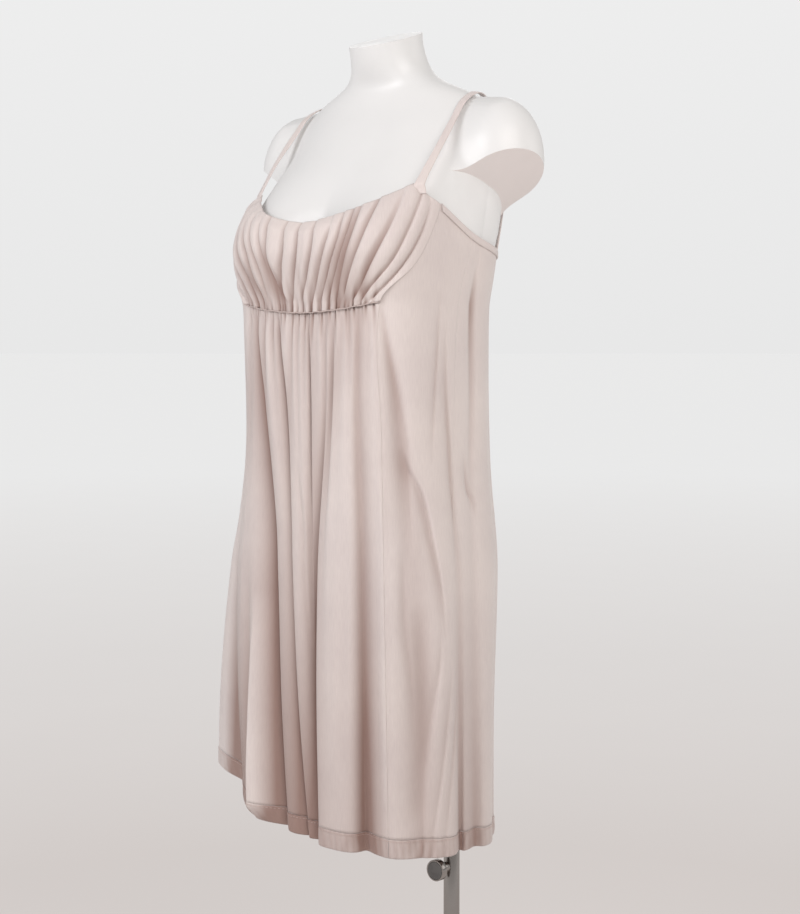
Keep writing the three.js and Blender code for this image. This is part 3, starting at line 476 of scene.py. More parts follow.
# Creases: left and right width, then height, angle and depth at points along each.
CREASES = creases(
    True,
    (2.4, 1.1, (1172, 42.2, 0), (1150, 42.8, 3), (1098, 45.5, 3), (1048, 48.8, 1.5), (1010, 50.8, 0)),
    (
        7, 1.3, (1130, 43.8, 0), (1098, 45.6, 1), (1048, 48.8, 2.5), (997, 51.8, 4), (947, 52.8, 4),
        (850, 54, 0),
    ),
    (3.6, 0.5, (990, 50.5, 0), (960, 53.2, 4), (928, 58.5, 6), (864, 62.8, 6), (807, 66, 4), (740, 68, 0)),
    (2.6, 0.7, (760, 66, 0), (700, 65, 3), (620, 61, 3), (560, 59, 2)),
    (2.4, 0.6, (720, 72, 0), (640, 69, 3), (560, 66, 3), (490, 63, 2)),
    (2.2, 0.6, (680, 75, 0), (610, 73, 3), (540, 70, 3), (480, 68, 2)),
    (2.8, 0.7, (1150, 72, 0), (1060, 71.5, 4), (980, 73.5, 5), (900, 75, 4), (800, 77, 0)),
    (1.8, 0.6, (1190, 68.5, 0), (1120, 67, 3), (1040, 64.5, 3), (960, 63, 0)),
    (2.6, 0.8, (980, 83.6, 0), (948, 85, 4), (929, 86.5, 5), (916, 88.8, 4), (890, 90, 0)),
) + creases(
    False,
    (2.6, 7.5, (800, -31, 0), (700, -29.5, -9), (620, -29, -15), (540, -28.6, -20), (480, -28.4, -20)),
    (1.5, 1.8, (960, 40.5, -2), (900, 42, -3), (800, 42.5, -2), (700, 43, -3), (520, 44, -2)),
    (2, 1.6, (860, 50, 1), (790, 50.5, 3), (750, 51, 3), (690, 53.5, 2), (600, 55, 0)),
    (4.5, 4, (800, 57, 0), (740, 58, 5), (650, 59, 6), (560, 57, 3), (500, 55, 2)),
    (3, 2.2, (900, 26, 0), (820, 25, 2), (700, 24.5, 2), (560, 24, 1)),
    (1.6, 1, (980, -6, 0), (900, -2, 2), (800, 0, 2), (700, 2.5, 0)),
    (3.5, 2, (700, -27, 0), (620, -26, 2), (520, -24, 2), (480, -23, 1)),
    (3, 2, (860, -37, 0), (760, -36, 3), (640, -35, 4), (500, -33, 3)),
    (3, 2, (1150, 118, 3), (1050, 119, 4), (940, 117, 3), (860, 116, 0)),
    (2.6, 3, (1120, 137, 2), (1000, 139, 4), (900, 140, 3), (760, 138, 0)),
    (3, 2.2, (1150, 157, 3), (1040, 156, 5), (930, 158, 3), (800, 160, 0)),
    (3.4, 2.4, (1100, 178, 2), (980, 179, 5), (860, 177, 4), (700, 176, 2)),
    (2.2, 3, (1140, 201, 2), (1030, 200, 4), (900, 202, 4), (780, 203, 0)),
    (2.8, 2, (1130, 222, 2), (1010, 221, 4), (880, 220, 3), (760, 221, 0)),
    (2.4, 2.2, (1120, 243, 2), (1000, 244, 4), (880, 243, 3), (740, 241, 0)),
    (2.4, 3.2, (760, 135, 0), (680, 137, 4), (580, 136, 5), (500, 134, 3)),
    (3, 2.2, (740, 157, 0), (650, 156, 5), (560, 157, 5), (520, 158, 3)),
    (2.6, 2.6, (700, 198, 0), (620, 197, 4), (560, 197, 6), (520, 198, 4)),
    (2.2, 2.8, (760, 221, 0), (660, 219, 4), (580, 219, 5), (520, 220, 3)),
    (2.6, 2, (720, 242, 0), (640, 241, 4), (560, 240, 5), (500, 239, 2)),
    (3, 4, (1060, 290, 1), (980, 288, 4), (880, 290, 5), (760, 288, 2)),
    (2, 3, (900, 281, 0), (800, 276, 3), (700, 272, 3), (600, 270, 0)),
)
# Small gathers next to the empire seam: angle, depth, and length below and above the seam.
SMALL_GATHERS = [
    (-38, 2.2, 38, 22), (-36, 1.6, 24, 30), (-31.6, 2.4, 62, 26), (-30.2, 1.4, 20, 16),
    (-26.6, 2.6, 70, 34), (-25, 1.5, 26, 20), (-21.4, 2.2, 48, 26), (-16.8, 2.5, 34, 40),
    (-14.9, 1.7, 60, 18), (-13, 2.3, 26, 32), (-8.6, 2.4, 74, 22), (-7.3, 1.5, 22, 26), (-4.2, 2.3, 40, 20),
    (-0.2, 2.5, 56, 36), (1.1, 1.5, 20, 18), (4.4, 2.2, 30, 28), (6.1, 2.4, 66, 22), (9.9, 1.8, 24, 34),
    (11.6, 2.4, 46, 20), (15.7, 1.7, 34, 24), (17.1, 2.3, 24, 30), (20.8, 2.4, 58, 20), (22.4, 1.5, 22, 26),
    (25.6, 2.3, 38, 32), (27, 1.6, 50, 18), (29.8, 2.4, 30, 24), (33.7, 1.7, 44, 34), (35.3, 2.3, 26, 20),
    (38.8, 2, 36, 28),
]
# Pleats of the bodice, written as the creases are, from its upper edge to the empire seam.
PLEATS = creases(
    True,
    (2.3, 1.1, (1292, -63, 4), (1250, -58, 6), (1210, -50, 7), (1172, -39, 4)),
    (2.6, 1, (1300, -57.5, 3), (1262, -50.5, 6), (1220, -42.5, 8), (1173, -34.6, 5)),
    (2.4, 1.2, (1305, -50, 4), (1265, -43.5, 6), (1225, -36.5, 8), (1174, -30.6, 5)),
    (2, 1, (1300, -43, 2), (1262, -37, 6), (1235, -31.6, 8), (1202, -29.8, 8), (1176, -27.2, 5)),
    (1.9, 1, (1295, -37, 3), (1265, -32.6, 5), (1225, -25.8, 7), (1174, -23.4, 5)),
    (1.6, 0.9, (1290, -30, 1), (1267, -27.2, 4), (1224, -21.2, 6), (1175, -18.8, 4)),
    (2.6, 1, (1288, -24.8, 5), (1259, -21, 7), (1224, -18.8, 8), (1194, -16, 7), (1171, -14.8, 5)),
    (2.9, 1, (1276, -11.4, 5), (1239, -8.9, 8), (1213, -11, 10), (1185, -12.6, 7), (1171, -11, 4)),
    (2.7, 1, (1273, -1.6, 5), (1238, -0.2, 9), (1206, -3.2, 10), (1172, -7.2, 6)),
    (2.6, 1, (1274, 8.6, 5), (1237, 8.8, 8), (1206, 5, 8), (1174, -0.8, 5)),
    (3, 1, (1271, 18.4, 2), (1249, 17.2, 7), (1217, 13.6, 8), (1169, 5.8, 6)),
    (1.9, 1, (1280, 24.6, 4), (1248, 22.8, 8), (1213, 18.4, 9), (1172, 11.6, 6)),
    (1.8, 1, (1293, 29.8, 4), (1266, 28.2, 8), (1220, 23.2, 9), (1173, 16.4, 6)),
    (1.9, 1, (1298, 33.6, 5), (1266, 30.8, 7), (1225, 26.6, 8), (1173, 20.8, 7)),
    (2.4, 1, (1308, 42.6, 6), (1272, 37.2, 8), (1232, 32, 8), (1173, 24.2, 6)),
    (2.9, 1.2, (1313, 52, 3), (1265, 45.2, 7), (1228, 39.6, 10), (1185, 32.6, 9), (1173, 29.4, 6)),
    (1.9, 1, (1305, 59, 5), (1266, 53, 6), (1219, 45.4, 7), (1185, 36.6, 7), (1171, 33, 5)),
    (1.4, 0.9, (1292, 62.2, 3), (1253, 57, 6), (1212, 49.2, 7), (1180, 40, 6), (1171, 36.6, 4)),
)
# Fine pleats beside the large ones: degrees to the right, depth, and how much lower each starts.
FINE_PLEATS = [
    (2.6, 2, 10), (3.2, 1.6, 40), (2.4, 2.4, 0), (2.1, 1.4, 25), (2.9, 2.6, 15), (1.8, 1.2, 50),
    (1.9, 2.8, 20), (3.8, 3.2, 45), (3.1, 1.8, -10), (4.6, 2.6, 30), (3.3, 2.2, 5), (2.3, 3, 55),
    (2.2, 1.6, -20), (1.4, 2.2, 10), (2.7, 2.4, 35), (1.6, 1.4, 0), (1.2, 2, 60), (1, 1.2, 30),
]


def hem_z(f: Array) -> Array:
    """The height of the hem's lower edge."""
    return HEM_Z + HEM_LIFT.at("lift", turn_between(f, 90))


def panel_bottom(f: Array) -> Array:
    """The height of the lower edge of a panel, just above its hem band."""
    return hem_z(f) + HEM_BAND + SEAM_GAP / 2


def empire_z(f: Array) -> Array:
    """The height of the empire seam."""
    return EMPIRE_Z + 13 * np.minimum(1, np.abs(f) / 41.5) ** 2


def neck_z(f: Array) -> Array:
    """The height of the bodice's upper edge."""
    return np.minimum(NECK_Z + 48 * np.abs(f / 58) ** 1.7, ARMHOLE.at("z", np.abs(f)))


def armhole_z(f: Array) -> Array:
    """The height of the upper edge of the side and back panels."""
    return ARMHOLE.at("z", np.abs(turn_between(f, 0)))


class Drape:
    """The surface that every piece of cloth lies on, with its folds."""

    TURN_STEP, LEVEL_STEP = 1.5, 6.0  # the grid on which the form is measured
    FOOT = 780.0  # the level below which the cloth hangs free

    def __init__(self) -> None:
        """Measures the form once, on a coarse grid, so that the cloth stays clear of it."""
        self.turns = np.arange(-180, 181, self.TURN_STEP)
        self.heights = np.arange(self.FOOT, 1345, self.LEVEL_STEP)
        f, z = np.meshgrid(self.turns, self.heights)
        self.skin = reach(torso_distance, AXIS_Y, np.radians(f - 90), z)

    def skin_at(self, f: Array, z: Array) -> Array:
        """The form's radius, read between the grid's points.

        Args:
            f: Angles of the places.
            z: Heights of the places.

        Returns:
            The radii, or 0 where the cloth hangs free.
        """
        u = np.clip((turn_between(f, 0) + 180) / self.TURN_STEP, 0, len(self.turns) - 1.001)
        v = np.clip((z - self.FOOT) / self.LEVEL_STEP, 0, len(self.heights) - 1.001)
        i, j = u.astype(int), v.astype(int)
        a, b = u - i, v - j
        low = self.skin[j, i] * (1 - a) + self.skin[j, i + 1] * a
        high = self.skin[j + 1, i] * (1 - a) + self.skin[j + 1, i + 1] * a
        return np.where(z < self.FOOT, 0, low * (1 - b) + high * b)

    def base(self, f: Array, z: Array) -> Array:
        """The radius of the smooth surface before the folds are sunk into it.

        Args:
            f: Angles of the places.
            z: Heights of the places.

        Returns:
            The radii.
        """
        turn = np.radians(f - 90)
        powers = (CLOTH.at("front_power", z), CLOTH.at("back_power", z))
        sizes = [CLOTH.at(name, z) for name in ("side", "front", "back")]
        return ring_radius(turn, *sizes, powers) + CLOTH.at("sway", z) * np.cos(turn)

    def skirt_sink(self, f: Array, z: Array) -> Array:
        """How deep the folds of the skirt and of the long panels lie.

        Args:
            f: Angles of the places.
            z: Heights of the places.

        Returns:
            The depths.
        """
        edge = PANEL_EDGE.at("angle", z)
        in_front = np.clip((edge + 3 - np.abs(turn_between(f, 0))) / 6, 0, 1)
        gathers = sum(fold.sink(f, z, GATHER_WIDTH) for fold in GATHERS)
        fade = np.clip((1250 - z) / 80, 0, 1)
        long_folds = sum(fold.sink(f, z, LONG_FOLD_WIDTH) for fold in LONG_FOLDS)
        soft = sum(crease.sink(f, z) for crease in CREASES)
        turn = turn_between(f, 0)
        # One slanting wrinkle lies under each arm's edge.
        below = armhole_z(turn) - z - 27 + 0.35 * (turn - 60)
        soft = soft + 2.8 * valley(below, 14, 3.5) * hill((turn - 63) / 17)
        soft = soft + 1.2 * valley(below - 22, 3, 12) * hill((turn + 66) / 15)
        return in_front * (gathers + self.small_sink(f, z, False)) + fade * long_folds + soft

    def lap(self, f: Array, z: Array) -> Array:
        """How far the crests of the large folds lap to the left, in degrees."""
        gathers = sum(fold.lap(f, z, GATHER_WIDTH) for fold in GATHERS)
        return gathers + sum(fold.lap(f, z, LONG_FOLD_WIDTH) for fold in LONG_FOLDS)

    def hollow(self, f: Array, z: Array, sink: Array) -> Array:
        """How much painted shade places on the skirt get, from 0 to 1, by how far they lie down in its
        folds.

        Args:
            f: Angles of the places.
            z: Heights of the places.
            sink: How deep the folds lie there.

        Returns:
            The shares.
        """
        front = np.abs(turn_between(f, 0)) < PANEL_EDGE.at("angle", z)
        # Painted shade: fine lines in the small gathers and sharp creases, and broad shade in the deep
        # folds.
        sharp = sum(crease.sink(f, z) for crease in CREASES if crease.runs_on)
        fine = np.clip(front * self.small_sink(f, z, False) / 5 + np.clip(sharp / 16, 0, 0.3), 0, 1)
        wide = np.clip((sink - 3.5) / (7 + 15 * np.clip((EMPIRE_Z - z) / 260, 0, 1)), 0, 1)
        # Painted shade that grows towards the hem at the front.
        low = 0.2 * np.clip((880 - z) / 330, 0, 1) * hill(turn_between(f, 22) / 38)
        return np.clip(np.maximum(fine, wide**1.25) + low, 0, 1)

    def small_sink(self, f: Array, z: Array, above: bool) -> Array:
        """How deep the small gathers lie, below the empire seam or above it.

        Args:
            f: Angles of the places.
            z: Heights of the places.
            above: Whether the places are on the bodice.

        Returns:
            The depths.
        """
        away = z - empire_z(f) if above else empire_z(f) - z
        total = np.zeros(np.shape(f))
        for angle, deep, below_length, above_length in SMALL_GATHERS:
            length = above_length if above else below_length
            spread = 0.55 + 0.8 * np.clip(away / length, 0, 1)
            drift = angle * (1 + (0.0016 if above else 0.0003) * away)
            depth = 2.1 * deep * np.exp(-np.clip(away, 0, 400) / length * 1.4)
            total = total + depth * hill((f - drift) / spread)
        return total

    def bodice_sink(self, f: Array, z: Array) -> Array:
        """How deep the pleats of the bodice lie.

        Args:
            f: Angles of the places.
            z: Heights of the places.

        Returns:
            The depths.
        """
        total = sum(pleat.sink(f, z) for pleat in PLEATS)
        for pleat, (share, deep, low) in zip(PLEATS, FINE_PLEATS):
            fine = np.clip((1262 - low - z) / 60, 0, 1) * np.clip((z - 1165) / 30, 0.4, 1)
            offset = turn_between(f, Table("z angle deep", pleat.rows).at("angle", z) + share)
            total = total + deep * fine * valley(offset, 1.3, 0.7)
        total = 9 * np.tanh(total / 9) + self.small_sink(f, z, True)
        return total * np.clip((PANEL_EDGE.at("angle", z) - np.abs(f)) / 1.6, 0, 1)

    def bodice_lap(self, f: Array, z: Array) -> Array:
        """How far the crests of the bodice's pleats lap to the left, in degrees."""
        fade = np.clip((PANEL_EDGE.at("angle", z) - np.abs(f)) / 3, 0, 1)
        return fade * sum(pleat.lap(f, z) for pleat in PLEATS)

    def radius(self, f: Array, z: Array, sink: Array, clear: float, ridge: float = 0.0) -> Array:
        """The radius of the cloth, never nearer the form than a clearance.

        Args:
            f: Angles of the places.
            z: Heights of the places.
            sink: How deep the folds lie there.
            clear: The least distance from the form to the cloth's outer face.
            ridge: The depth of folds that still stand out where the cloth lies on the form.

        Returns:
            The radii.
        """
        standing = np.maximum(ridge - sink, 0) * 0.7 if ridge else 0
        return blend_max(self.base(f, z) - sink, self.skin_at(f, z) + clear + standing, 2.0)

    @staticmethod
    def outward(f: Array) -> Array:
        """Level directions that point away from the axis."""
        turn = np.radians(f - 90)
        return np.stack([np.cos(turn), np.sin(turn), 0 * turn], axis=-1)

    @staticmethod
    def place(f: Array, z: Array, radius: Array) -> Array:
        """Points in metres from angle, height and radius.

        Args:
            f: Angles.
            z: Heights.
            radius: Radii.

        Returns:
            The points.
        """
        turn = np.radians(f - 90)
        x, y = radius * np.cos(turn), AXIS_Y + radius * np.sin(turn)
        return np.stack([x, y, z + 0 * x], axis=-1) * MM


DRAPE = Drape()


# ---- mesh helpers ------------------------------------------------------------------------------


def new_object(
    name: str, vertices: Array, faces: list, material: bpy.types.Material
) -> bpy.types.Object:
    """Makes a smooth mesh object from points and faces.

    Args:
        name: The piece's name.
        vertices: Points in metres.
        faces: Faces by vertex index.
        material: Its finish.

    Returns:
        The object, linked to the scene.
    """
    mesh = bpy.data.meshes.new(name)
    mesh.from_pydata(np.asarray(vertices).reshape(-1, 3).tolist(), [], faces)
    mesh.materials.append(material)
    mesh.polygons.foreach_set("use_smooth", [True] * len(mesh.polygons))
    piece = bpy.data.objects.new(name, mesh)
    bpy.context.scene.collection.objects.link(piece)
    return piece


def grid_faces(rows: int, columns: int, wrap_rows: bool = False) -> list[tuple[int, ...]]:
    """Faces of a grid of points whose rows run down and whose columns run to the right.

    Args:
        rows: How many rows there are.
        columns: How many columns there are.
        wrap_rows: Whether the last row joins the first.

    Returns:
        The faces, by vertex index.
    """
    faces = []
    for r in range(rows if wrap_rows else rows - 1):
        a, b = r * columns, ((r + 1) % rows) * columns
        faces += [(a + c, b + c, b + c + 1, a + c + 1) for c in range(columns - 1)]
    return faces


def tube_faces(rows: int, columns: int) -> list[tuple[int, ...]]:
    """Faces of a tube whose outline runs down the rows, with both of its ends closed.

    Args:
        rows: How many points the outline has.
        columns: How many outlines there are.

    Returns:
        The faces, by vertex index.
    """
    faces = grid_faces(rows, columns, wrap_rows=True)
    faces.append(tuple(r * columns for r in range(rows)))
    faces.append(tuple(r * columns + columns - 1 for r in reversed(range(rows))))
    return faces


def set_uv(piece: bpy.types.Object, uv: Array) -> None:
    """Gives each vertex of a piece a place on its cloth, in metres.

    Args:
        piece: The piece.
        uv: The places.
    """
    mesh = piece.data
    layer = mesh.uv_layers.new(name="Cloth")
    loops = np.empty(len(mesh.loops), dtype=np.int32)
    mesh.loops.foreach_get("vertex_index", loops)
    layer.data.foreach_set("uv", uv.reshape(-1, 2)[loops].astype(np.float32).ravel())


def set_painted_shade(piece: bpy.types.Object, hollow: Array) -> None:
    """Keeps how much painted shade each vertex gets, from 0 to 1, mostly by how far it lies down in a fold,
    for the material to read.
    """
    layer = piece.data.attributes.new("hollow", "FLOAT", "POINT")
    layer.data.foreach_set("value", np.clip(hollow, 0, 1).astype(np.float32).ravel())


def select_only(piece: bpy.types.Object | None = None) -> None:
    """Makes a piece the only selected object and the active one, or selects nothing.

    Args:
        piece: The piece, or None.
    """
    if bpy.context.object and bpy.context.object.mode != "OBJECT":
        bpy.ops.object.mode_set(mode="OBJECT")
    bpy.ops.object.select_all(action="DESELECT")
    if piece:
        piece.select_set(True)
        bpy.context.view_layer.objects.active = piece


def apply_modifier(piece: bpy.types.Object, kind: str, **settings: object) -> None:
    """Adds a modifier with the given settings and applies it at once.

    Args:
        piece: The piece.
        kind: The modifier's type.
        settings: Its own properties.
    """
    select_only(piece)
    modifier = piece.modifiers.new(kind.title(), kind)
    for key, value in settings.items():
        setattr(modifier, key, value)
    bpy.ops.object.modifier_apply(modifier=modifier.name)


def dress_piece(piece: bpy.types.Object, body: str, nodes: Sequence[str] = ()) -> None:
    """Attaches a finished piece to its body, hides the CAD nodes it stands for, and logs it.

    Args:
        piece: The piece.
        body: The body it rides on.
        nodes: The CAD nodes that it stands for.
    """
    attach(piece, body)
    if nodes:
        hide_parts(*nodes)
    area = sum(face.area for face in piece.data.polygons)
    LOG.info("%s: %d faces, %.4f m2, on %s", piece.name, len(piece.data.polygons), area, body)


# ---- finishes ----------------------------------------------------------------------------------


class NodeBoard:
    """A short way to write a material's nodes."""

    def __init__(self, name: str) -> None:
        """Starts a material with a principled shader.

        Args:
            name: The material's name.
        """
        self.material = bpy.data.materials.new(name)
        self.material.use_nodes = True
        self.tree = self.material.node_tree
        self.shader = self.tree.nodes["Principled BSDF"]

    def add(self, kind: str, inputs: dict | None = None, **settings: object) -> bpy.types.Node:
        """Adds a node.

        Args:
            kind: The node's type without its prefix.
            inputs: Values or sockets for its inputs, by name or number.
            settings: Its own properties.

        Returns:
            The node.
        """
        node = self.tree.nodes.new("ShaderNode" + kind)
        for key, value in settings.items():
            setattr(node, key, value)
        for key, value in (inputs or {}).items():
            self.put(node.inputs[key], value)
        return node

    def put(self, socket: bpy.types.NodeSocket, value: object) -> None:
        """Links a socket to a socket, or sets its value.

        Args:
            socket: The socket that is set.
            value: A socket or a value.
        """
        if isinstance(value, bpy.types.NodeSocket):
            self.tree.links.new(value, socket)
        else:
            socket.default_value = value

    def math(self, operation: str, a: object, b: object = 0.0) -> bpy.types.NodeSocket:
        """The result of a Math node."""
        return self.add("Math", {0: a, 1: b}, operation=operation).outputs[0]

    def noise(self, vector: object, scale: float, detail: float = 3.0) -> bpy.types.NodeSocket:
        """The value of a noise at a scale in waves per metre."""
        node = self.add("TexNoise", {"Vector": vector, "Scale": scale, "Detail": detail})
        return node.outputs[0]

    def mix(self, share: object, a: object, b: object) -> bpy.types.NodeSocket:
        """A colour between two.

        Args:
            share: How much of the second colour it has.
            a: The first colour.
            b: The second colour.

        Returns:
            The mixed colour.
        """
        node = self.add("Mix", data_type="RGBA")
        for socket, value in zip((node.inputs[0], node.inputs[6], node.inputs[7]), (share, a, b)):
            self.put(socket, value)
        return node.outputs[2]

    def ramp(
        self, value: object, low: float, high: float, to_low: float, to_high: float
    ) -> bpy.types.NodeSocket:
        """A value carried from one range to another and held inside it."""
        inputs = {0: value, 1: low, 2: high, 3: to_low, 4: to_high}
        return self.add("MapRange", inputs).outputs[0]

    def bump(
        self, height: object, strength: float, distance: float, normal: object = None
    ) -> bpy.types.NodeSocket:
        """A bumped normal.

        Args:
            height: The heights.
            strength: How strong it is.
            distance: How high a height of 1 is, in metres.
            normal: The normal that it starts from, if another bump came first.

        Returns:
            The normal.
        """
        inputs = {"Height": height, "Strength": strength, "Distance": distance}
        if normal is not None:
            inputs["Normal"] = normal
        return self.add("Bump", inputs).outputs[0]

    def finish(self, **sockets: object) -> bpy.types.Material:
        """Sets the shader's sockets, written with underscores for spaces, and returns the material.

        Args:
            sockets: Values or sockets for the shader's inputs.

        Returns:
            The material.
        """
        for key, value in sockets.items():
            self.put(self.shader.inputs[key.replace("_", " ")], value)
        return self.material


def rgb(code: int) -> tuple[float, float, float, float]:
    """A linear colour from an sRGB code.

    Args:
        code: The code, such as 0xFFFFFF.

    Returns:
        The colour with its alpha.
    """
    parts = [(code >> shift & 255) / 255 for shift in (16, 8, 0)]
    line = [c / 12.92 if c <= 0.04045 else ((c + 0.055) / 1.055) ** 2.4 for c in parts]
    return (*line, 1.0)


@dataclass(frozen=True)
class Jersey:
    """A fine, supple viscose jersey with a soft lustre.

    Attributes:
        pale: The colour on the ridges.
        deep: The colour of the knit's darker places.
        fold: The painted shade down in the folds: a darker, warmer colour that the cloth is mixed towards
            there.
        wale: The distance between two wales of the knit, in metres.
    """

    pale: int = 0xDFD4CF
    deep: int = 0xD1C5C2
    fold: int = 0x8A675B
    wale: float = 0.0009

    def make(self, name: str = "jersey") -> bpy.types.Material:
        """Builds the material: a ribbed knit bump, faint slubs, an uneven dye and painted shade in the
        folds.

        Args:
            name: The material's name.

        Returns:
            The material.
        """
        board = NodeBoard(name)
        cloth = board.add("UVMap", uv_map="Cloth").outputs[0]
        place = board.add("TexCoord").outputs["Object"]
        cloud = board.noise(place, 9, 4)
        slub = board.noise(board.add("Mapping", {0: cloth, 3: (900, 60, 1)}).outputs[0], 1, 2)
        dye, thick = board.ramp(cloud, 0.35, 0.65, 0, 0.5), board.ramp(slub, 0.35, 0.7, 0, 0.4)
        colour = board.mix(board.math("ADD", dye, thick), rgb(self.pale), rgb(self.deep))
        hollow = board.add("Attribute", attribute_name="hollow").outputs["Fac"]
        # Painted shade: the colour is mixed towards the fold colour as far as the hollow attribute reaches.
        colour = board.mix(board.math("MULTIPLY", hollow, 0.85), colour, rgb(self.fold))
        ribs = []
        for way, pitch, weight in (("X", self.wale, 0.7), ("Y", self.wale * 0.8, 0.3)):
            inputs = {"Vector": cloth, "Scale": 0.5 / pitch, "Distortion": 0.6, "Detail": 1.0}
            wave = board.add("TexWave", inputs, bands_direction=way).outputs["Fac"]
            ribs.append(board.math("MULTIPLY", wave, weight))
        normal = board.bump(board.math("ADD", *ribs), 0.35, 0.00025)
        normal = board.bump(board.noise(place, 60, 3), 0.12, 0.004, normal)
        return board.finish(
            Base_Color=colour,
            Roughness=board.ramp(cloud, 0.3, 0.7, 0.5, 0.62),
            Normal=normal,
            Specular_IOR_Level=0.4,
            Sheen_Weight=0.4,
            Sheen_Roughness=0.4,
        )


@dataclass(frozen=True)
class Lacquer:
    """The satin shell of the form, with the faintest orange peel.

    Attributes:
        shade: Its colour.
        tint: The colour of its darker places.
        roughness: How dull it is.
        glow: The strength of a painted glow: light of its own colour that the shell gives off, though it is
            no lamp.
    """

    shade: int = 0xD7D6D5
    tint: int = 0xD2D1D0
    roughness: float = 0.36
    glow: float = 0.14

    def make(self, name: str) -> bpy.types.Material:
        """Builds the material.

        Args:
            name: The material's name.

        Returns:
            The material.
        """
        board = NodeBoard(name)
        place = board.add("TexCoord").outputs["Object"]
        cloud = board.noise(place, 6, 4)
        colour = board.mix(board.ramp(cloud, 0.35, 0.65, 0, 1), rgb(self.shade), rgb(self.tint))
        dull, shiny = self.roughness + 0.06, self.roughness - 0.05
        rough = board.ramp(board.noise(place, 24, 3), 0.3, 0.7, shiny, dull)
        normal = board.bump(board.noise(place, 420, 2), 0.05, 0.0006)
        return board.finish(
            Base_Color=colour,
            Roughness=rough,
            Normal=normal,
            Specular_IOR_Level=0.5,
            # Painted glow: the shell gives off a little light of its own colour.
            Emission_Color=rgb(self.shade),
            Emission_Strength=self.glow,
        )


@dataclass(frozen=True)
class Metal:
    """A plated or brushed metal.

    Attributes:
        shade: Its colour.
        roughness: How dull it is.
        grain: How strong its brushing lines are.
        stretch: The scale of the lines along each axis.
    """

    shade: int = 0xB9B6B3
    roughness: float = 0.14
    grain: float = 0.04
    stretch: tuple[float, float, float] = (900, 900, 12)

    def make(self, name: str) -> bpy.types.Material:
        """Builds the material.

        Args:
            name: The material's name.

        Returns:
            The material.
        """
        board = NodeBoard(name)
        place = board.add("TexCoord").outputs["Object"]
        lines = board.noise(board.add("Mapping", {0: place, 3: self.stretch}).outputs[0], 1, 3)
        smear = board.noise(place, 30, 4)
        rough = board.ramp(smear, 0.3, 0.7, self.roughness, self.roughness + 0.1)
        normal = board.bump(lines, self.grain, 0.0004)
        return board.finish(Base_Color=rgb(self.shade), Metallic=1.0, Roughness=rough, Normal=normal)


@dataclass(frozen=True)
class Plastic:
    """A moulded plastic with a fine grain.

    Attributes:
        shade: Its colour.
        fleck: The colour of its flecks.
        roughness: How dull it is.
    """

    shade: int = 0x6C6A69
    fleck: int = 0x777573
    roughness: float = 0.42

    def make(self, name: str) -> bpy.types.Material:
        """Builds the material.

        Args:
            name: The material's name.

        Returns:
            The material.
        """
        board = NodeBoard(name)
        place = board.add("TexCoord").outputs["Object"]
        colour = board.mix(board.noise(place, 80, 3), rgb(self.shade), rgb(self.fleck))
        normal = board.bump(board.noise(place, 1600, 2), 0.15, 0.0003)
        return board.finish(Base_Color=colour, Roughness=self.roughness, Normal=normal)


# ---- the dress ---------------------------------------------------------------------------------


class Hold(Enum):
    """How a sheet of cloth is held."""

    DRAPED = "draped"
    GATHERED = "gathered"
    STRETCHED = "stretched"


@dataclass(frozen=True)
class Cut:
    """How a panel was cut before it was sewn.

    Attributes:
        width: The widest place of its cut, in metres.
        length: Its length.
        area: Its flat area in square metres.
        hold: How it is held.
        rests_on: What it lies on or hangs from.
        trims: The pieces that go with it.
    """

    width: float
    length: float
    area: float
    hold: Hold
    rests_on: tuple[str, ...]
    trims: tuple[str, ...] = ()

    def declare(self, name: str, pieces: dict[str, bpy.types.Object]) -> None:
        """Does nothing: the sheet is not declared.

        Args:
            name: The piece's name. Not used.
            pieces: All the pieces of the dress. Not used.
        """


CUTS = {
    "skirt_front": Cut(0.42, 0.72, 0.255, Hold.GATHERED, ("bodice_front",), ("hem_band_front",)),
    "bodice_front": Cut(0.4, 0.19, 0.06, Hold.GATHERED, ("dress_form",), ("empire_seam_cord",)),
    "side_left": Cut(0.15, 0.88, 0.092, Hold.DRAPED, ("dress_form",), ("hem_band_left",)),
    "side_right": Cut(0.15, 0.88, 0.092, Hold.DRAPED, ("dress_form",), ("hem_band_right",)),
    "back": Cut(0.64, 0.83, 0.45, Hold.DRAPED, ("dress_form",), ("hem_band_back", "hem_stitches")),
    "armhole_binding": Cut(0.0115, 0.62, 0.0071, Hold.STRETCHED, ("side_left", "back", "side_right")),
    "shoulder_strap_left": Cut(0.0125, 0.43, 0.0053, Hold.STRETCHED, ("dress_form",)),
    "shoulder_strap_right": Cut(0.0125, 0.43, 0.0053, Hold.STRETCHED, ("dress_form",)),
}


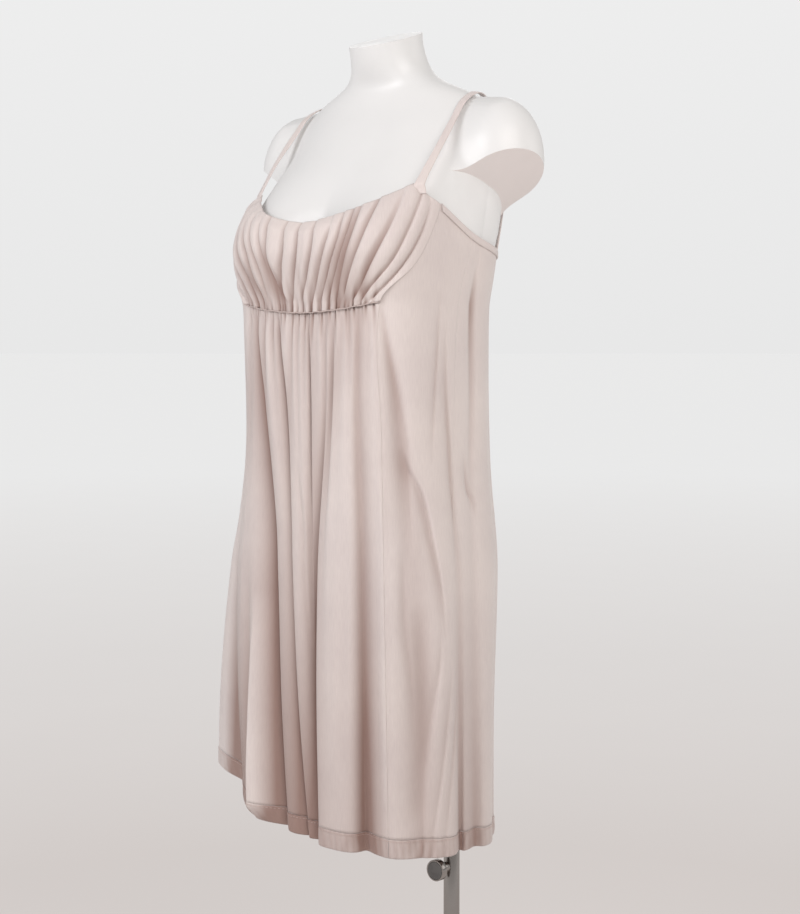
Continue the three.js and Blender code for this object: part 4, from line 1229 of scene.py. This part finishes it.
@dataclass
class Dress:
    """The whole garment, panel by panel.

    Attributes:
        material: The jersey.
        thread: The sewing thread.
        wall: How thick a single layer is, in millimetres.
        clear: How far the cloth's outer face stays from the form.
        bodice_wall: How thick the bodice is with its turned edges.
        pieces: The pieces made so far, by name.
    """

    material: bpy.types.Material
    thread: bpy.types.Material
    wall: float = 1.1
    clear: float = 2.6
    bodice_wall: float = 1.3
    pieces: dict[str, bpy.types.Object] = field(default_factory=dict)

    def settle(self, f_at: Callable, z_at: Callable, shape: tuple[int, int]) -> tuple[Array, Array]:
        """Finds angles and heights that depend on each other.

        Args:
            f_at: The angle of each place at a height.
            z_at: The height of each place at an angle.
            shape: The rows and columns of the grid.

        Returns:
            The angles and the heights.
        """
        z = np.full(shape, 790.0)
        for _ in range(8):
            f = f_at(z)
            z = z_at(f)
        return f, z

    def panel(
        self, name: str, f: Array, z: Array, radius: Array, wall: float, hollow: Array
    ) -> bpy.types.Object:
        """Makes a panel as a thin shell on the drape.

        Args:
            name: The panel's name.
            f: Angles of its points.
            z: Heights of its points.
            radius: Radii of its points.
            wall: Its thickness in millimetres.
            hollow: How far each point lies down in a fold, from 0 to 1, which sets its painted shade.

        Returns:
            The panel.
        """
        points = DRAPE.place(f, z, radius)
        piece = new_object(name, points, grid_faces(*f.shape), self.material)
        set_uv(piece, np.stack([np.radians(f) * CLOTH_RADIUS, z * MM], axis=-1))
        apply_modifier(piece, "SOLIDIFY", thickness=wall * MM, offset=-1.0, use_even_offset=False)
        # The inner face gets an even painted shade.
        inside = np.full(len(piece.data.vertices) - hollow.size, INNER_PAINTED_SHADE)
        set_painted_shade(piece, np.concatenate([hollow.ravel(), inside]))
        self.pieces[name] = piece
        return piece

    def build_skirt(self) -> None:
        """The gathered front of the skirt."""
        columns, rows = 240, 170
        u, v = np.meshgrid(np.linspace(-1, 1, columns), np.linspace(0, 1, rows))
        top = lambda f: empire_z(f) - 0.4
        f, z = self.settle(
            lambda z: u * (PANEL_EDGE.at("angle", z) + 0.02),
            lambda f: top(f) + (panel_bottom(f) - top(f)) * v,
            u.shape,
        )
        sink = DRAPE.skirt_sink(f, z)
        radius = DRAPE.radius(f, z, sink, self.clear)
        hollow = DRAPE.hollow(f, z, sink)
        piece = self.panel("skirt_front", f - DRAPE.lap(f, z), z, radius, self.wall, hollow)
        dress_piece(piece, "form", ["front_skirt"])

    def build_bodice(self) -> None:
        """The pleated front of the bodice."""
        columns, rows = 260, 90
        u, v = np.meshgrid(np.linspace(-1, 1, columns), np.linspace(0, 1, rows))
        bottom = lambda f: empire_z(f) + 0.4
        f, z = self.settle(
            lambda z: u * (PANEL_EDGE.at("angle", z) - SEAM_SHARE),
            lambda f: neck_z(f) + (bottom(f) - neck_z(f)) * v,
            u.shape,
        )
        sink = DRAPE.bodice_sink(f, z)
        radius = DRAPE.radius(f, z, sink, self.clear, ridge=8) + 1
        # The upper edge curls in towards the form, and most at the wearer's right.
        curl = 0.15 + 0.5 * np.clip((-28 - f) / 14, 0, 1) + 0.15 * np.clip((f - 25) / 15, 0, 1)
        stands_off = np.maximum(radius - DRAPE.skin_at(f, z) - 5, 0)
        radius = radius - stands_off * curl * np.clip(1 - v * 9, 0, 1) ** 1.5
        z = z - 0.16 * sink * np.clip(1 - v * 6, 0, 1)
        # Painted shade down in the pleats, with a faint painted shade over the whole bodice.
        hollow = 0.05 + np.clip(sink - 3.1, 0, 8) / 5.6
        turned = f - DRAPE.bodice_lap(f, z)
        piece = self.panel("bodice_front", turned, z, radius, self.bodice_wall, hollow)
        dress_piece(piece, "form", ["front_bodice"])

    def build_long_panel(
        self, name: str, node: str, start: Callable, end: Callable, columns: int, tuck: tuple[float, float]
    ) -> None:
        """A panel that hangs from the armhole's edge to the hem.

        Args:
            name: The piece's name.
            node: The CAD node it stands for.
            start: The angle of its left edge at a height.
            end: The angle of its right edge at a height.
            columns: How many columns of points it has.
            tuck: How far its left and right edges lie under the panels beside them, in degrees.
        """
        rows = 190
        u, v = np.meshgrid(np.linspace(0, 1, columns), np.linspace(0, 1, rows))
        f, z = self.settle(
            lambda z: start(z) + (end(z) - start(z)) * u,
            lambda f: armhole_z(f) + (panel_bottom(f) - armhole_z(f)) * v,
            u.shape,
        )
        sink = DRAPE.skirt_sink(f, z)
        radius = DRAPE.radius(f, z, sink, self.clear)
        for edge, under in ((start(z), tuck[0]), (end(z), tuck[1])):
            radius = radius - 0.6 * np.clip(1 - np.abs(f - edge) / (under + 0.4), 0, 1) * (under > 0)
        piece = self.panel(name, f - DRAPE.lap(f, z), z, radius, self.wall, DRAPE.hollow(f, z, sink))
        dress_piece(piece, "form", [node])

    def build_hem(self, name: str, node: str, start: Callable, end: Callable, columns: int) -> None:
        """The turned hem below a panel: a flat tube of cloth with a rounded lower fold.

        Args:
            name: The piece's name.
            node: The CAD node it stands for.
            start: The angle of its left end at a height.
            end: The angle of its right end at a height.
            columns: How many columns of points it has.
        """
        outline = [(0.0, 0.25), (0.05, 0.75), (0.12, 0.4), (0.2, 0.75), (0.35, 0.95), (0.55, 1.0)]
        outline += [(0.75, 0.9), (0.9, 0.75), (0.97, 0.35), (1.0, -0.35), (0.97, -1.1), (0.88, -1.4)]
        outline += [(0.6, -1.4), (0.3, -1.35), (0.08, -1.3), (0.0, -0.9)]
        share, out = np.array(outline).T[:, :, None]
        u = np.linspace(0, 1, columns)[None, :]
        f, z = self.settle(
            lambda z: start(z) + (end(z) - start(z)) * u,
            lambda f: hem_z(f) + (HEM_BAND - SEAM_GAP / 2) * (1 - share) + 0 * f,
            (len(outline), columns),
        )
        pucker = 0.6 * np.sin(f * 0.9 + 2.6 * share + 3 * np.sin(f * 0.31))
        pucker = pucker * (0.5 + 0.5 * np.sin(f * 0.23 + 1)) + 0.3 * np.sin(f * 2.3 - 1.8 * share)
        pucker = pucker * (1 + 0.9 * hill((f - 47) / 18))
        sink = DRAPE.skirt_sink(f, z)
        radius = DRAPE.radius(f, z, sink, self.clear) + out
        radius = radius + pucker * np.sin(np.pi * np.clip(share, 0, 1)) * (out > 0)
        points = DRAPE.place(f - DRAPE.lap(f, z), z, radius)
        piece = new_object(name, points, tube_faces(len(outline), columns), self.material)
        set_uv(piece, np.stack([np.radians(f) * CLOTH_RADIUS, z * MM + out * MM], axis=-1))
        # The band is mixed further towards the fold colour throughout, and painted shade follows its
        # puckers.
        set_painted_shade(piece, DRAPE.hollow(f, z, sink) + 0.26 + 0.12 * pucker)
        self.pieces[name] = piece
        dress_piece(piece, "form", [node])

    def build_band(
        self,
        name: str,
        path: Array,
        across: Array,
        out: Array,
        outline: list,
        spread: Array | float = 1.0,
        hollow: float = 0.0,
    ) -> bpy.types.Object:
        """Sweeps a closed outline along a path.

        Args:
            name: The piece's name.
            path: Points of the path, in metres.
            across: The direction of the outline's width at each point.
            out: The direction of its thickness.
            outline: Pairs of offsets across and out, in millimetres.
            spread: How much wider than its outline it is at each point.
            hollow: How much painted shade it gets, as if it lay that far down in a fold, from 0 to 1.

        Returns:
            The swept piece.
        """
        shape = np.array(outline) * MM
        across = across * np.broadcast_to(spread, len(path))[:, None]
        points = path + shape[:, 0, None, None] * across + shape[:, 1, None, None] * out
        piece = new_object(name, points, tube_faces(len(outline), len(path)), self.material)
        along = np.concatenate([[0], np.cumsum(np.linalg.norm(np.diff(path, axis=0), axis=1))])
        set_uv(piece, np.stack(np.broadcast_arrays(shape[:, 0, None], along[None]), axis=-1))
        set_painted_shade(piece, np.full(points.shape[:2], hollow))
        self.pieces[name] = piece
        return piece

    def build_strap(self, side: int, name: str, node: str) -> None:
        """A narrow turned strap from the bodice's corner over the shoulder to the back.

        Args:
            side: 1 for the wearer's left and -1 for the right.
            name: The piece's name.
            node: The CAD node it stands for.
        """
        under_front, under_back, last = 0.4, 0.2, STRAP.keys[-1]
        s = np.linspace(-under_front, last + under_back, 150)
        path = np.stack([STRAP.at(key, s) for key in "xyz"], axis=-1)
        path += np.outer(np.minimum(s, 0), [-4, 5, 30])
        path += np.outer(np.maximum(s - last, 0), [1, -20, -74])
        normal = np.stack([STRAP.at(key, s) for key in ("nx", "ny", "nz")], axis=-1)
        path[:, 0] *= side
        normal[:, 0] *= side
        if side < 0:  # its foot follows the bodice's corner, which curls in there
            path += np.outer(hill(s / 1.2), [6.8, 4.2, 0])
        tangent = np.gradient(path, axis=0)
        tangent /= np.linalg.norm(tangent, axis=1)[:, None]
        across = np.cross(tangent, normal)
        across /= np.linalg.norm(across, axis=1)[:, None]
        out = np.cross(across, tangent)
        from_end = s + under_front
        wave = np.sin(s * 2.3) * 0.15 - 3.0 * hill(from_end / 0.4)
        outline = [(-5.4, 0), (-5.1, 0.65), (-4, 0.85), (0, 0.95), (4, 0.85), (5.1, 0.65)]
        outline += [(5.4, 0), (5.1, -0.65), (4, -0.8), (0, -0.8), (-4, -0.8), (-5.1, -0.65)]
        spread = 1 + 0.6 * hill(from_end / 0.5) + 0.04 * np.sin(s * 3.1)
        piece = self.build_band(name, (path + wave[:, None] * out) * MM, across, out, outline, spread)
        dress_piece(piece, "form", [node])

    def build_binding(self) -> None:
        """The turned edge along the top of the side and back panels."""
        outline = [(0.0, 0.9), (-0.6, 1.5), (-2.5, 1.7), (-5, 1.6), (-7.6, 1.65), (-8.4, 1.35)]
        outline += [(-9, 0.3), (-9, -0.4), (-5, -0.6), (0, -0.9), (0.9, -0.2), (0.8, 0.5)]
        f = np.linspace(67.4, 292.6, 360)
        z = armhole_z(f)
        flat = DRAPE.radius(f, z - 4, DRAPE.skirt_sink(f, z - 4), self.clear)
        path = DRAPE.place(f, z + 0.4, flat + 0.2)
        across = np.tile([0.0, 0.0, 1.0], (len(f), 1))
        piece = self.build_band("armhole_binding", path, across, DRAPE.outward(f), outline)
        dress_piece(piece, "form", ["top_binding"])

    def build_seam_cord(self) -> None:
        """The fine cord that the gathers of the bodice and the skirt are sewn to."""
        f = np.linspace(-41.4, 41.4, 420)
        z = empire_z(f)
        radius = DRAPE.radius(f, z, DRAPE.skirt_sink(f, z) * 0.45, self.clear) + 0.5
        beads = 0.16 * np.sin(f * 7.3) + 0.1 * np.sin(f * 17)
        path = DRAPE.place(f, z + 0.3 * np.sin(f * 0.9), radius + beads)
        across = np.tile([0.0, 0.0, 1.0], (len(f), 1))
        turns = np.linspace(0, -2 * math.pi, 9)[:-1]
        ring = [(0.85 * math.cos(turn), 0.85 * math.sin(turn)) for turn in turns]
        # Painted shade: the cord is mixed towards the fold colour as if it lay halfway down a fold.
        piece = self.build_band("empire_seam_cord", path, across, DRAPE.outward(f), ring, hollow=0.5)
        dress_piece(piece, "form")

    def build_stitches(self) -> None:
        """The row of machine stitches that holds the turned hem."""
        pitch, length, below_edge = 0.92, 0.62, 2.6
        starts = np.arange(-180.0, 180.0, pitch)
        vertices: list = []
        faces: list = []
        for n, start in enumerate(starts):
            ends = np.array([start, start + length])
            z = hem_z(ends) + HEM_BAND - below_edge
            radius = DRAPE.radius(ends, z, DRAPE.skirt_sink(ends, z), self.clear) + 1.15
            a, b = DRAPE.place(ends - DRAPE.lap(ends, z), z, radius)
            up, out = np.array([0, 0, 0.28]) * MM, DRAPE.outward(start) * 0.3 * MM
            for share, size in ((0, 0.25), (0.18, 1), (0.82, 1), (1, 0.25)):
                middle = a + (b - a) * share - out * (1 - size)
                vertices += [middle + way * size for way in (up, out, -up, -out)]
            k = n * 16
            for r in range(3):
                for c in range(4):
                    d = (c + 1) % 4
                    faces.append((k + r * 4 + c, k + r * 4 + d, k + r * 4 + 4 + d, k + r * 4 + 4 + c))
            faces += [(k + 3, k + 2, k + 1, k), (k + 12, k + 13, k + 14, k + 15)]
        piece = new_object("hem_stitches", np.array(vertices), faces, self.thread)
        self.pieces["hem_stitches"] = piece
        dress_piece(piece, "form")

    def build(self) -> None:
        """Builds every panel and its trimmings."""
        self.build_skirt()
        self.build_bodice()
        front = lambda z: PANEL_EDGE.at("angle", z) - SEAM_SHARE
        edge = lambda z: PANEL_EDGE.at("angle", z) + SEAM_SHARE
        seam = lambda z: SIDE_SEAM.at("angle", z) - SEAM_SHARE
        behind = lambda z: SIDE_SEAM.at("angle", z) + SEAM_SHARE
        panels = [
            ("left", edge, seam, 110, 90, (0.6, 0)),
            ("right", lambda z: -seam(z), lambda z: -edge(z), 110, 90, (0, 0.6)),
            ("back", behind, lambda z: 360 - behind(z), 250, 300, (0.5, 0.5)),
        ]
        for side, start, end, columns, hem_columns, tuck in panels:
            node = "back_panel" if side == "back" else f"side_panel_{side}"
            name = "back" if side == "back" else f"side_{side}"
            under = lambda z, start=start: start(z) - tuck[0]
            over = lambda z, end=end: end(z) + tuck[1]
            self.build_long_panel(name, node, under, over, columns, tuck)
            self.build_hem(f"hem_band_{side}", f"hem_{side}", start, end, hem_columns)
        self.build_hem("hem_band_front", "hem_front", lambda z: -front(z), front, 240)
        self.build_binding()
        self.build_seam_cord()
        self.build_stitches()
        self.build_strap(1, "shoulder_strap_left", "strap_left")
        self.build_strap(-1, "shoulder_strap_right", "strap_right")
        for name, cut in CUTS.items():
            cut.declare(name, self.pieces)


# ---- the form ----------------------------------------------------------------------------------


@dataclass
class DressForm:
    """The limbless torso, lofted through its rings, with its neck and arms cut flat.

    Attributes:
        shell: The finish of the skin.
        cut: The finish of the cut faces.
        columns: Points round a ring.
        step: The distance between rings in millimetres.
        arm_cut: A point of the plane at which the left arm is cut off.
        arm_way: The way that this plane faces.
        neck_cut: A point of the plane at which the neck is cut off.
        neck_way: The way that it faces.
        least_cut: The area of the smallest cut face, in square metres.
    """

    shell: bpy.types.Material
    cut: bpy.types.Material
    columns: int = 200
    step: float = 5.0
    arm_cut: tuple[float, float, float] = (140, -35, 1325)
    arm_way: tuple[float, float, float] = (0.49, -0.28, -0.82)
    neck_cut: tuple[float, float, float] = (0, -5, 1526)
    neck_way: tuple[float, float, float] = (0, -0.3048, 0.9524)
    least_cut: float = 1e-3

    def loft(
        self, name: str, distance: Callable, bottom: float, top: float, out: float
    ) -> bpy.types.Object:
        """Lofts a closed body from a distance function.

        Args:
            name: The object's name.
            distance: The body's distance function.
            bottom: The lowest level.
            top: The highest level.
            out: How far the body is grown.

        Returns:
            The body.
        """
        levels = np.linspace(top, bottom, int((top - bottom) / self.step) + 1)
        even = np.linspace(0, 2 * np.pi, self.columns, endpoint=False)
        turn, z = np.meshgrid(even - 0.2 * np.sin(2 * even), levels)
        middle = FORM.at("middle", z)
        radius = reach(distance, middle, turn, z) + out
        points = np.stack([radius * np.cos(turn), middle + radius * np.sin(turn), z], axis=-1) * MM
        rows, n = len(levels), self.columns
        faces = []
        for r in range(rows - 1):
            a, b = r * n, (r + 1) * n
            faces += [(a + c, b + c, b + (c + 1) % n, a + (c + 1) % n) for c in range(n)]
        faces += [tuple(range(n)), tuple(reversed(range((rows - 1) * n, rows * n)))]
        return new_object(name, points, faces, self.shell)

    def cutter(self, side: int) -> bpy.types.Object:
        """A block that lies outside the plane at which one arm is cut off.

        Args:
            side: 1 for the wearer's left and -1 for the right.

        Returns:
            The block.
        """
        size, mirror = 0.3, Vector((side, 1, 1))
        normal = (Vector(self.arm_way) * mirror).normalized()
        place = Vector(self.arm_cut) * mirror * MM + normal * size / 2
        turn = normal.to_track_quat("Z", "Y").to_euler()
        select_only()
        bpy.ops.mesh.primitive_cube_add(size=size, location=place, rotation=turn)
        block = bpy.context.object
        bpy.ops.object.transform_apply(location=True, rotation=True, scale=True)
        block.data.materials.append(self.cut)
        return block

    def build(self) -> None:
        """Lofts the body, cuts the arms and the neck, and dresses the piece."""
        body = self.loft("dress_form", body_distance, 790, 1556, 0)
        body.data.materials.append(self.cut)
        for side in (1, -1):
            block = self.cutter(side)
            core = self.loft("core", torso_distance, 780, 1556, 0.6)
            apply_modifier(block, "BOOLEAN", operation="DIFFERENCE", object=core, solver="EXACT")
            apply_modifier(body, "BOOLEAN", operation="DIFFERENCE", object=block, solver="EXACT")
            for tool in (core, block):
                bpy.data.objects.remove(tool)
        select_only(body)
        bpy.ops.object.mode_set(mode="EDIT")
        bpy.ops.mesh.select_all(action="SELECT")
        place = Vector(self.neck_cut) * MM
        bpy.ops.mesh.bisect(plane_co=place, plane_no=self.neck_way, use_fill=True, clear_outer=True)
        bpy.ops.object.mode_set(mode="OBJECT")
        for face in body.data.polygons:
            if face.area < self.least_cut:
                face.material_index = 0
        select_only(body)
        bpy.ops.object.shade_smooth_by_angle(angle=math.radians(35))
        dress_piece(body, "form", ["torso"])


class Axis(Enum):
    """Which way a turned piece of the stand points."""

    UPRIGHT = 0.0
    FORWARD = math.pi / 2


class End(Enum):
    """An end of a turned piece, named by the way that its face looks along the piece."""

    NEAR = -1
    FAR = 1


@dataclass
class Turning:
    """A round piece of the stand, shaped in edit mode from a cylinder.

    Attributes:
        name: The piece's name.
        radius: Its radius, in millimetres.
        start: Where it starts along its axis, from the floor or from the pole's middle.
        end: Where it ends.
        axis: Which way it points.
        vertices: How many points it has round it.
    """

    name: str
    radius: float
    start: float
    end: float
    axis: Axis = Axis.UPRIGHT
    vertices: int = 72
    piece: bpy.types.Object = field(init=False)

    def __post_init__(self) -> None:
        """Adds the cylinder at the origin."""
        select_only()
        bpy.ops.mesh.primitive_cylinder_add(
            vertices=self.vertices, radius=self.radius * MM, depth=(self.end - self.start) * MM
        )
        self.piece = bpy.context.object
        self.piece.name = self.name

    def hollow(self, end: End, *steps: tuple[float, float]) -> None:
        """Insets an end's face and pushes it along the axis, step after step.

        Args:
            end: The end that is worked on.
            steps: Pairs of how far the face is drawn in and how far it is pushed outward.
        """
        mesh = self.piece.data
        for group in (mesh.vertices, mesh.edges, mesh.polygons):
            group.foreach_set("select", np.zeros(len(group), bool))
        faces = [face for face in mesh.polygons if face.normal.z * end.value > 0.9]
        outermost = max(faces, key=lambda face: face.center.z * end.value)
        outermost.select = True
        bpy.ops.object.mode_set(mode="EDIT")
        bpy.ops.mesh.select_mode(type="FACE")
        for inset, push in steps:
            bpy.ops.mesh.inset(thickness=inset * MM, depth=0)
            if push:
                move = {"value": (0, 0, push * end.value * MM)}
                bpy.ops.mesh.extrude_region_move(TRANSFORM_OT_translate=move)
        bpy.ops.object.mode_set(mode="OBJECT")

    def soften(self, width: float, segments: int = 2) -> None:
        """Rounds every sharp edge.

        Args:
            width: The bevel's width in millimetres.
            segments: How many faces it has across.
        """
        bpy.ops.object.mode_set(mode="EDIT")
        bpy.ops.mesh.select_mode(type="EDGE")
        bpy.ops.mesh.select_all(action="DESELECT")
        bpy.ops.mesh.edges_select_sharp(sharpness=math.radians(40))
        bpy.ops.mesh.bevel(offset=width * MM, segments=segments, affect="EDGES")
        bpy.ops.object.mode_set(mode="OBJECT")

    def place(
        self, x: float, y: float, height: float, body: str, slot: str, finish: bpy.types.Material
    ) -> None:
        """Puts the piece where it belongs and dresses it.

        Args:
            x: The pole's place.
            y: The pole's place.
            height: The height of the axis of a piece that points forward.
            body: The body it rides on.
            slot: The record's material slot. Not used.
            finish: Its material.
        """
        middle = (self.start + self.end) / 2
        upright = self.axis is Axis.UPRIGHT
        self.piece.location = Vector((x, y, middle) if upright else (x, y - middle, height)) * MM
        self.piece.rotation_euler = (self.axis.value, 0, 0)
        select_only(self.piece)
        bpy.ops.object.transform_apply(location=True, rotation=True, scale=True)
        bpy.ops.object.shade_smooth_by_angle(angle=math.radians(30))
        self.piece.data.materials.append(finish)
        dress_piece(self.piece, body, [self.name.removeprefix("stand_")])


@dataclass
class Pole:
    """The telescopic pole with the cup that holds the form.

    Attributes:
        chrome: Its finish.
        x: Its place across.
        y: Its place in depth.
        outer: The outer tube's radius.
        inner: The inner tube's radius.
        wall: The inner tube's wall.
        running_gap: The gap between the tubes.
    """

    chrome: bpy.types.Material
    x: float = 80
    y: float = 40
    outer: float = 11
    inner: float = 9
    wall: float = 1.5
    running_gap: float = 0.4

    def build(self) -> None:
        """Builds both tubes and the cup."""
        tube = Turning("stand_outer_tube", self.outer, 6.3, 448)
        tube.hollow(End.FAR, (0.3, 0.0), (self.outer - self.inner - self.running_gap - 0.3, -438))
        tube.soften(0.3)
        tube.place(self.x, self.y, 0, "stand", "chrome", self.chrome)
        rod = Turning("stand_inner_tube", self.inner, 190, 783.4)
        rod.hollow(End.NEAR, (self.wall, -40))
        rod.hollow(End.FAR, (self.wall, -8))
        rod.soften(0.3)
        rod.place(self.x, self.y, 0, "form", "chrome", self.chrome)
        cup = Turning("stand_form_socket", 24, 769.7, 789.7)
        cup.hollow(End.NEAR, (4, 0.0), (10.7, -14))
        cup.soften(0.8, 3)
        cup.place(self.x, self.y, 0, "form", "chrome", self.chrome)


@dataclass
class Clamp:
    """The clamp that holds the pole at its height: a boss and a knob with an inlaid face.

    Attributes:
        chrome: The finish of its metal.
        grey: The finish of the inlay.
        pole: The pole it sits on.
        height: The height of its axis.
        radius: The knob's radius.
    """

    chrome: bpy.types.Material
    grey: bpy.types.Material
    pole: Pole
    height: float = 406
    radius: float = 14.5

    def build(self) -> None:
        """Builds the boss, the knob and its inlay."""
        start = self.pole.outer + 0.3
        boss = Turning("stand_knob_boss", 7, start, start + 13, Axis.FORWARD, 48)
        boss.hollow(End.FAR, (1.6, 0.0), (0.8, -0.5))
        boss.soften(0.35, 3)
        boss.place(self.pole.x, self.pole.y, self.height, "stand", "chrome", self.chrome)
        disc = start + 16.3
        knob = Turning("stand_knob", self.radius, disc, disc + 9, Axis.FORWARD)
        knob.hollow(End.NEAR, (self.radius - 7, 3))
        knob.hollow(End.FAR, (2.2, -1.2))
        knob.soften(0.5, 3)
        knob.place(self.pole.x, self.pole.y, self.height, "knob", "chrome", self.chrome)
        face = Turning("stand_knob_face", self.radius - 2.5, disc + 8.1, disc + 8.9, Axis.FORWARD)
        face.hollow(End.FAR, (1.4, -0.15), (4.5, -0.12))
        face.soften(0.1)
        face.place(self.pole.x, self.pole.y, self.height, "knob", "knob_grey", self.grey)


@dataclass
class Base:
    """The round floor plate and the collar that holds the pole.

    Attributes:
        steel: The plate's finish.
        chrome: The collar's finish.
        pole: The pole it carries.
        radius: The plate's radius.
        thickness: The plate's thickness.
    """

    steel: bpy.types.Material
    chrome: bpy.types.Material
    pole: Pole
    radius: float = 190
    thickness: float = 6

    def build(self) -> None:
        """Builds the plate and the collar."""
        plate = Turning("stand_base_plate", self.radius, 0, self.thickness, vertices=160)
        plate.hollow(End.FAR, (6, 0.0), (0.8, -0.4))
        plate.hollow(End.NEAR, (10, 0.0), (2, -1))
        plate.soften(0.35, 3)
        plate.place(0, 0, 0, "stand", "plate_metal", self.steel)
        collar = Turning("stand_base_socket", 17, self.thickness + 0.3, 36)
        collar.hollow(End.FAR, (1.2, 1.0), (4.5 - 0.3, -30))
        collar.soften(0.4, 3)
        collar.place(self.pole.x, self.pole.y, 0, "stand", "chrome", self.chrome)


# ---- the room ----------------------------------------------------------------------------------


@dataclass
class Studio:
    """A pale floor, soft light and the camera.

    Attributes:
        azimuth: The camera's place round the object, in degrees from the front.
        distance: Its distance from the middle axis, in metres.
        height: Its height.
        pitch: How far it looks down, in degrees.
        lens: Its focal length on a 36 mm sensor.
        shift_right: How far it stands to its own right of the middle axis.
        ambient: The strength of the even light.
    """

    azimuth: float = 40.0
    distance: float = 2.5
    height: float = 1.11
    pitch: float = 3.33
    lens: float = 72.35
    shift_right: float = 0.0163
    ambient: float = 0.42

    def build_camera(self) -> None:
        """Places the camera."""
        a = math.radians(self.azimuth)
        right = Vector((math.cos(a), math.sin(a), 0))
        place = Vector((math.sin(a), -math.cos(a), 0)) * self.distance + right * self.shift_right
        data = bpy.data.cameras.new("camera")
        data.lens, data.sensor_width, data.sensor_height = self.lens, 36, 36
        data.clip_end = 1000
        camera = bpy.data.objects.new("camera", data)
        camera.location = (place.x, place.y, self.height)
        camera.rotation_euler = (math.radians(90 - self.pitch), 0, a)
        bpy.context.scene.collection.objects.link(camera)
        bpy.context.scene.camera = camera

    def build_light(
        self, name: str, place: tuple, target: tuple, size: tuple, power: float, tint: int
    ) -> None:
        """Adds a soft rectangular light.

        Args:
            name: The light's name.
            place: Where it stands.
            target: What it points at.
            size: Its width and height.
            power: Its power in watts.
            tint: Its colour.
        """
        data = bpy.data.lights.new(name, "AREA")
        data.shape, data.size, data.size_y = "RECTANGLE", *size
        data.energy, data.color = power, rgb(tint)[:3]
        light = bpy.data.objects.new(name, data)
        light.location = place
        light.rotation_euler = (Vector(target) - Vector(place)).to_track_quat("-Z", "Y").to_euler()
        bpy.context.scene.collection.objects.link(light)

    def build_floor(self) -> None:
        """The floor: a wide disc that is paler far away."""
        board = NodeBoard("floor_paper")
        place = board.add("TexCoord").outputs["Object"]
        away = board.add("VectorMath", {0: place}, operation="LENGTH").outputs["Value"]
        far = board.ramp(board.math("LOGARITHM", away, 10.0), 0.2, 1.15, 0, 1)
        glow = board.mix(far, rgb(0xCDC6C3), rgb(0xE8E8E8))
        fibre = board.math("MULTIPLY", board.noise(place, 3, 4), 0.1)
        near = board.mix(board.ramp(away, 0.5, 2.0, 0, 1), rgb(0xB4B0AE), rgb(0x50504F))
        paper = board.finish(
            Base_Color=board.mix(fibre, near, rgb(0x8C8886)),
            Roughness=0.9,
            Specular_IOR_Level=0.1,
            Emission_Color=glow,
            Emission_Strength=board.ramp(away, 0.5, 2.0, 0.55, 0.95),
        )
        select_only()
        under = (0, 0, -1 * MM)
        bpy.ops.mesh.primitive_circle_add(vertices=96, radius=600, fill_type="NGON", location=under)
        floor = bpy.context.object
        floor.name = "floor"
        bpy.ops.object.transform_apply(location=True, rotation=True, scale=True)
        floor.data.materials.append(paper)

    def build_world(self) -> None:
        """A pale room: a bright wall for the eye, and a dimmer, even light on the object."""
        world = bpy.data.worlds.new("room")
        world.use_nodes = True
        nodes, links = world.node_tree.nodes, world.node_tree.links
        wall = nodes["Background"]
        coord = nodes.new("ShaderNodeTexCoord")
        split = nodes.new("ShaderNodeSeparateXYZ")
        ramp = nodes.new("ShaderNodeValToRGB")
        links.new(coord.outputs["Generated"], split.inputs[0])
        links.new(split.outputs["Z"], ramp.inputs[0])
        links.new(ramp.outputs[0], wall.inputs[0])
        low, high = ramp.color_ramp.elements
        low.position, low.color = 0.0, rgb(0xE8E8E8)
        high.position, high.color = 0.2, rgb(0xEEEEEE)
        light = nodes.new("ShaderNodeBackground")
        light.inputs[0].default_value = rgb(0xFBFAF9)
        light.inputs[1].default_value = self.ambient
        mix = nodes.new("ShaderNodeMixShader")
        links.new(nodes.new("ShaderNodeLightPath").outputs["Is Camera Ray"], mix.inputs[0])
        links.new(light.outputs[0], mix.inputs[1])
        links.new(wall.outputs[0], mix.inputs[2])
        links.new(mix.outputs[0], nodes["World Output"].inputs[0])
        bpy.context.scene.world = world

    def build(self) -> None:
        """Sets up the whole room."""
        self.build_camera()
        self.build_floor()
        self.build_world()
        self.build_light("key_light", (2.3, -1.2, 2.5), (0, 0, 1.1), (2.0, 1.8), 38, 0xFFF9F5)
        self.build_light("fill_light", (-0.7, -2.9, 2.4), (0, 0, 1.15), (1.7, 1.5), 48, 0xFCFCFF)
        self.build_light("back_light", (2.3, 2.0, 1.9), (0, 0, 1.0), (1.8, 1.8), 10, 0xFFFDFB)
        self.build_light("far_back_light", (-2.0, 2.6, 2.3), (0, 0, 1.0), (1.8, 1.8), 14, 0xFFFFFF)


def main() -> None:
    """Builds the room, the form, the dress and the stand, and logs each piece's size."""
    logging.basicConfig(level=logging.INFO, format="%(message)s")
    bpy.context.scene.view_settings.view_transform = "Standard"
    Studio().build()
    shell = Lacquer().make("satin_shell")
    # The cut faces get a fainter painted glow.
    cut = Lacquer(0xE8E0DD, 0xE0D8D5, 0.5, 0.08).make("cut_face")
    DressForm(shell, cut).build()
    thread = Plastic(0xD2BAB2, 0xC9B0A8, 0.6).make("thread")
    Dress(Jersey().make(), thread).build()
    chrome = Metal(0x9C9692).make("chrome")
    plate = Metal(0xA7A5A3, 0.3, 0.1, (12, 900, 900)).make("brushed_steel")
    grey = Plastic().make("knob_grey")
    pole = Pole(chrome)
    pole.build()
    Clamp(chrome, grey, pole).build()
    Base(plate, chrome, pole).build()


if __name__ == "__main__":
    main()
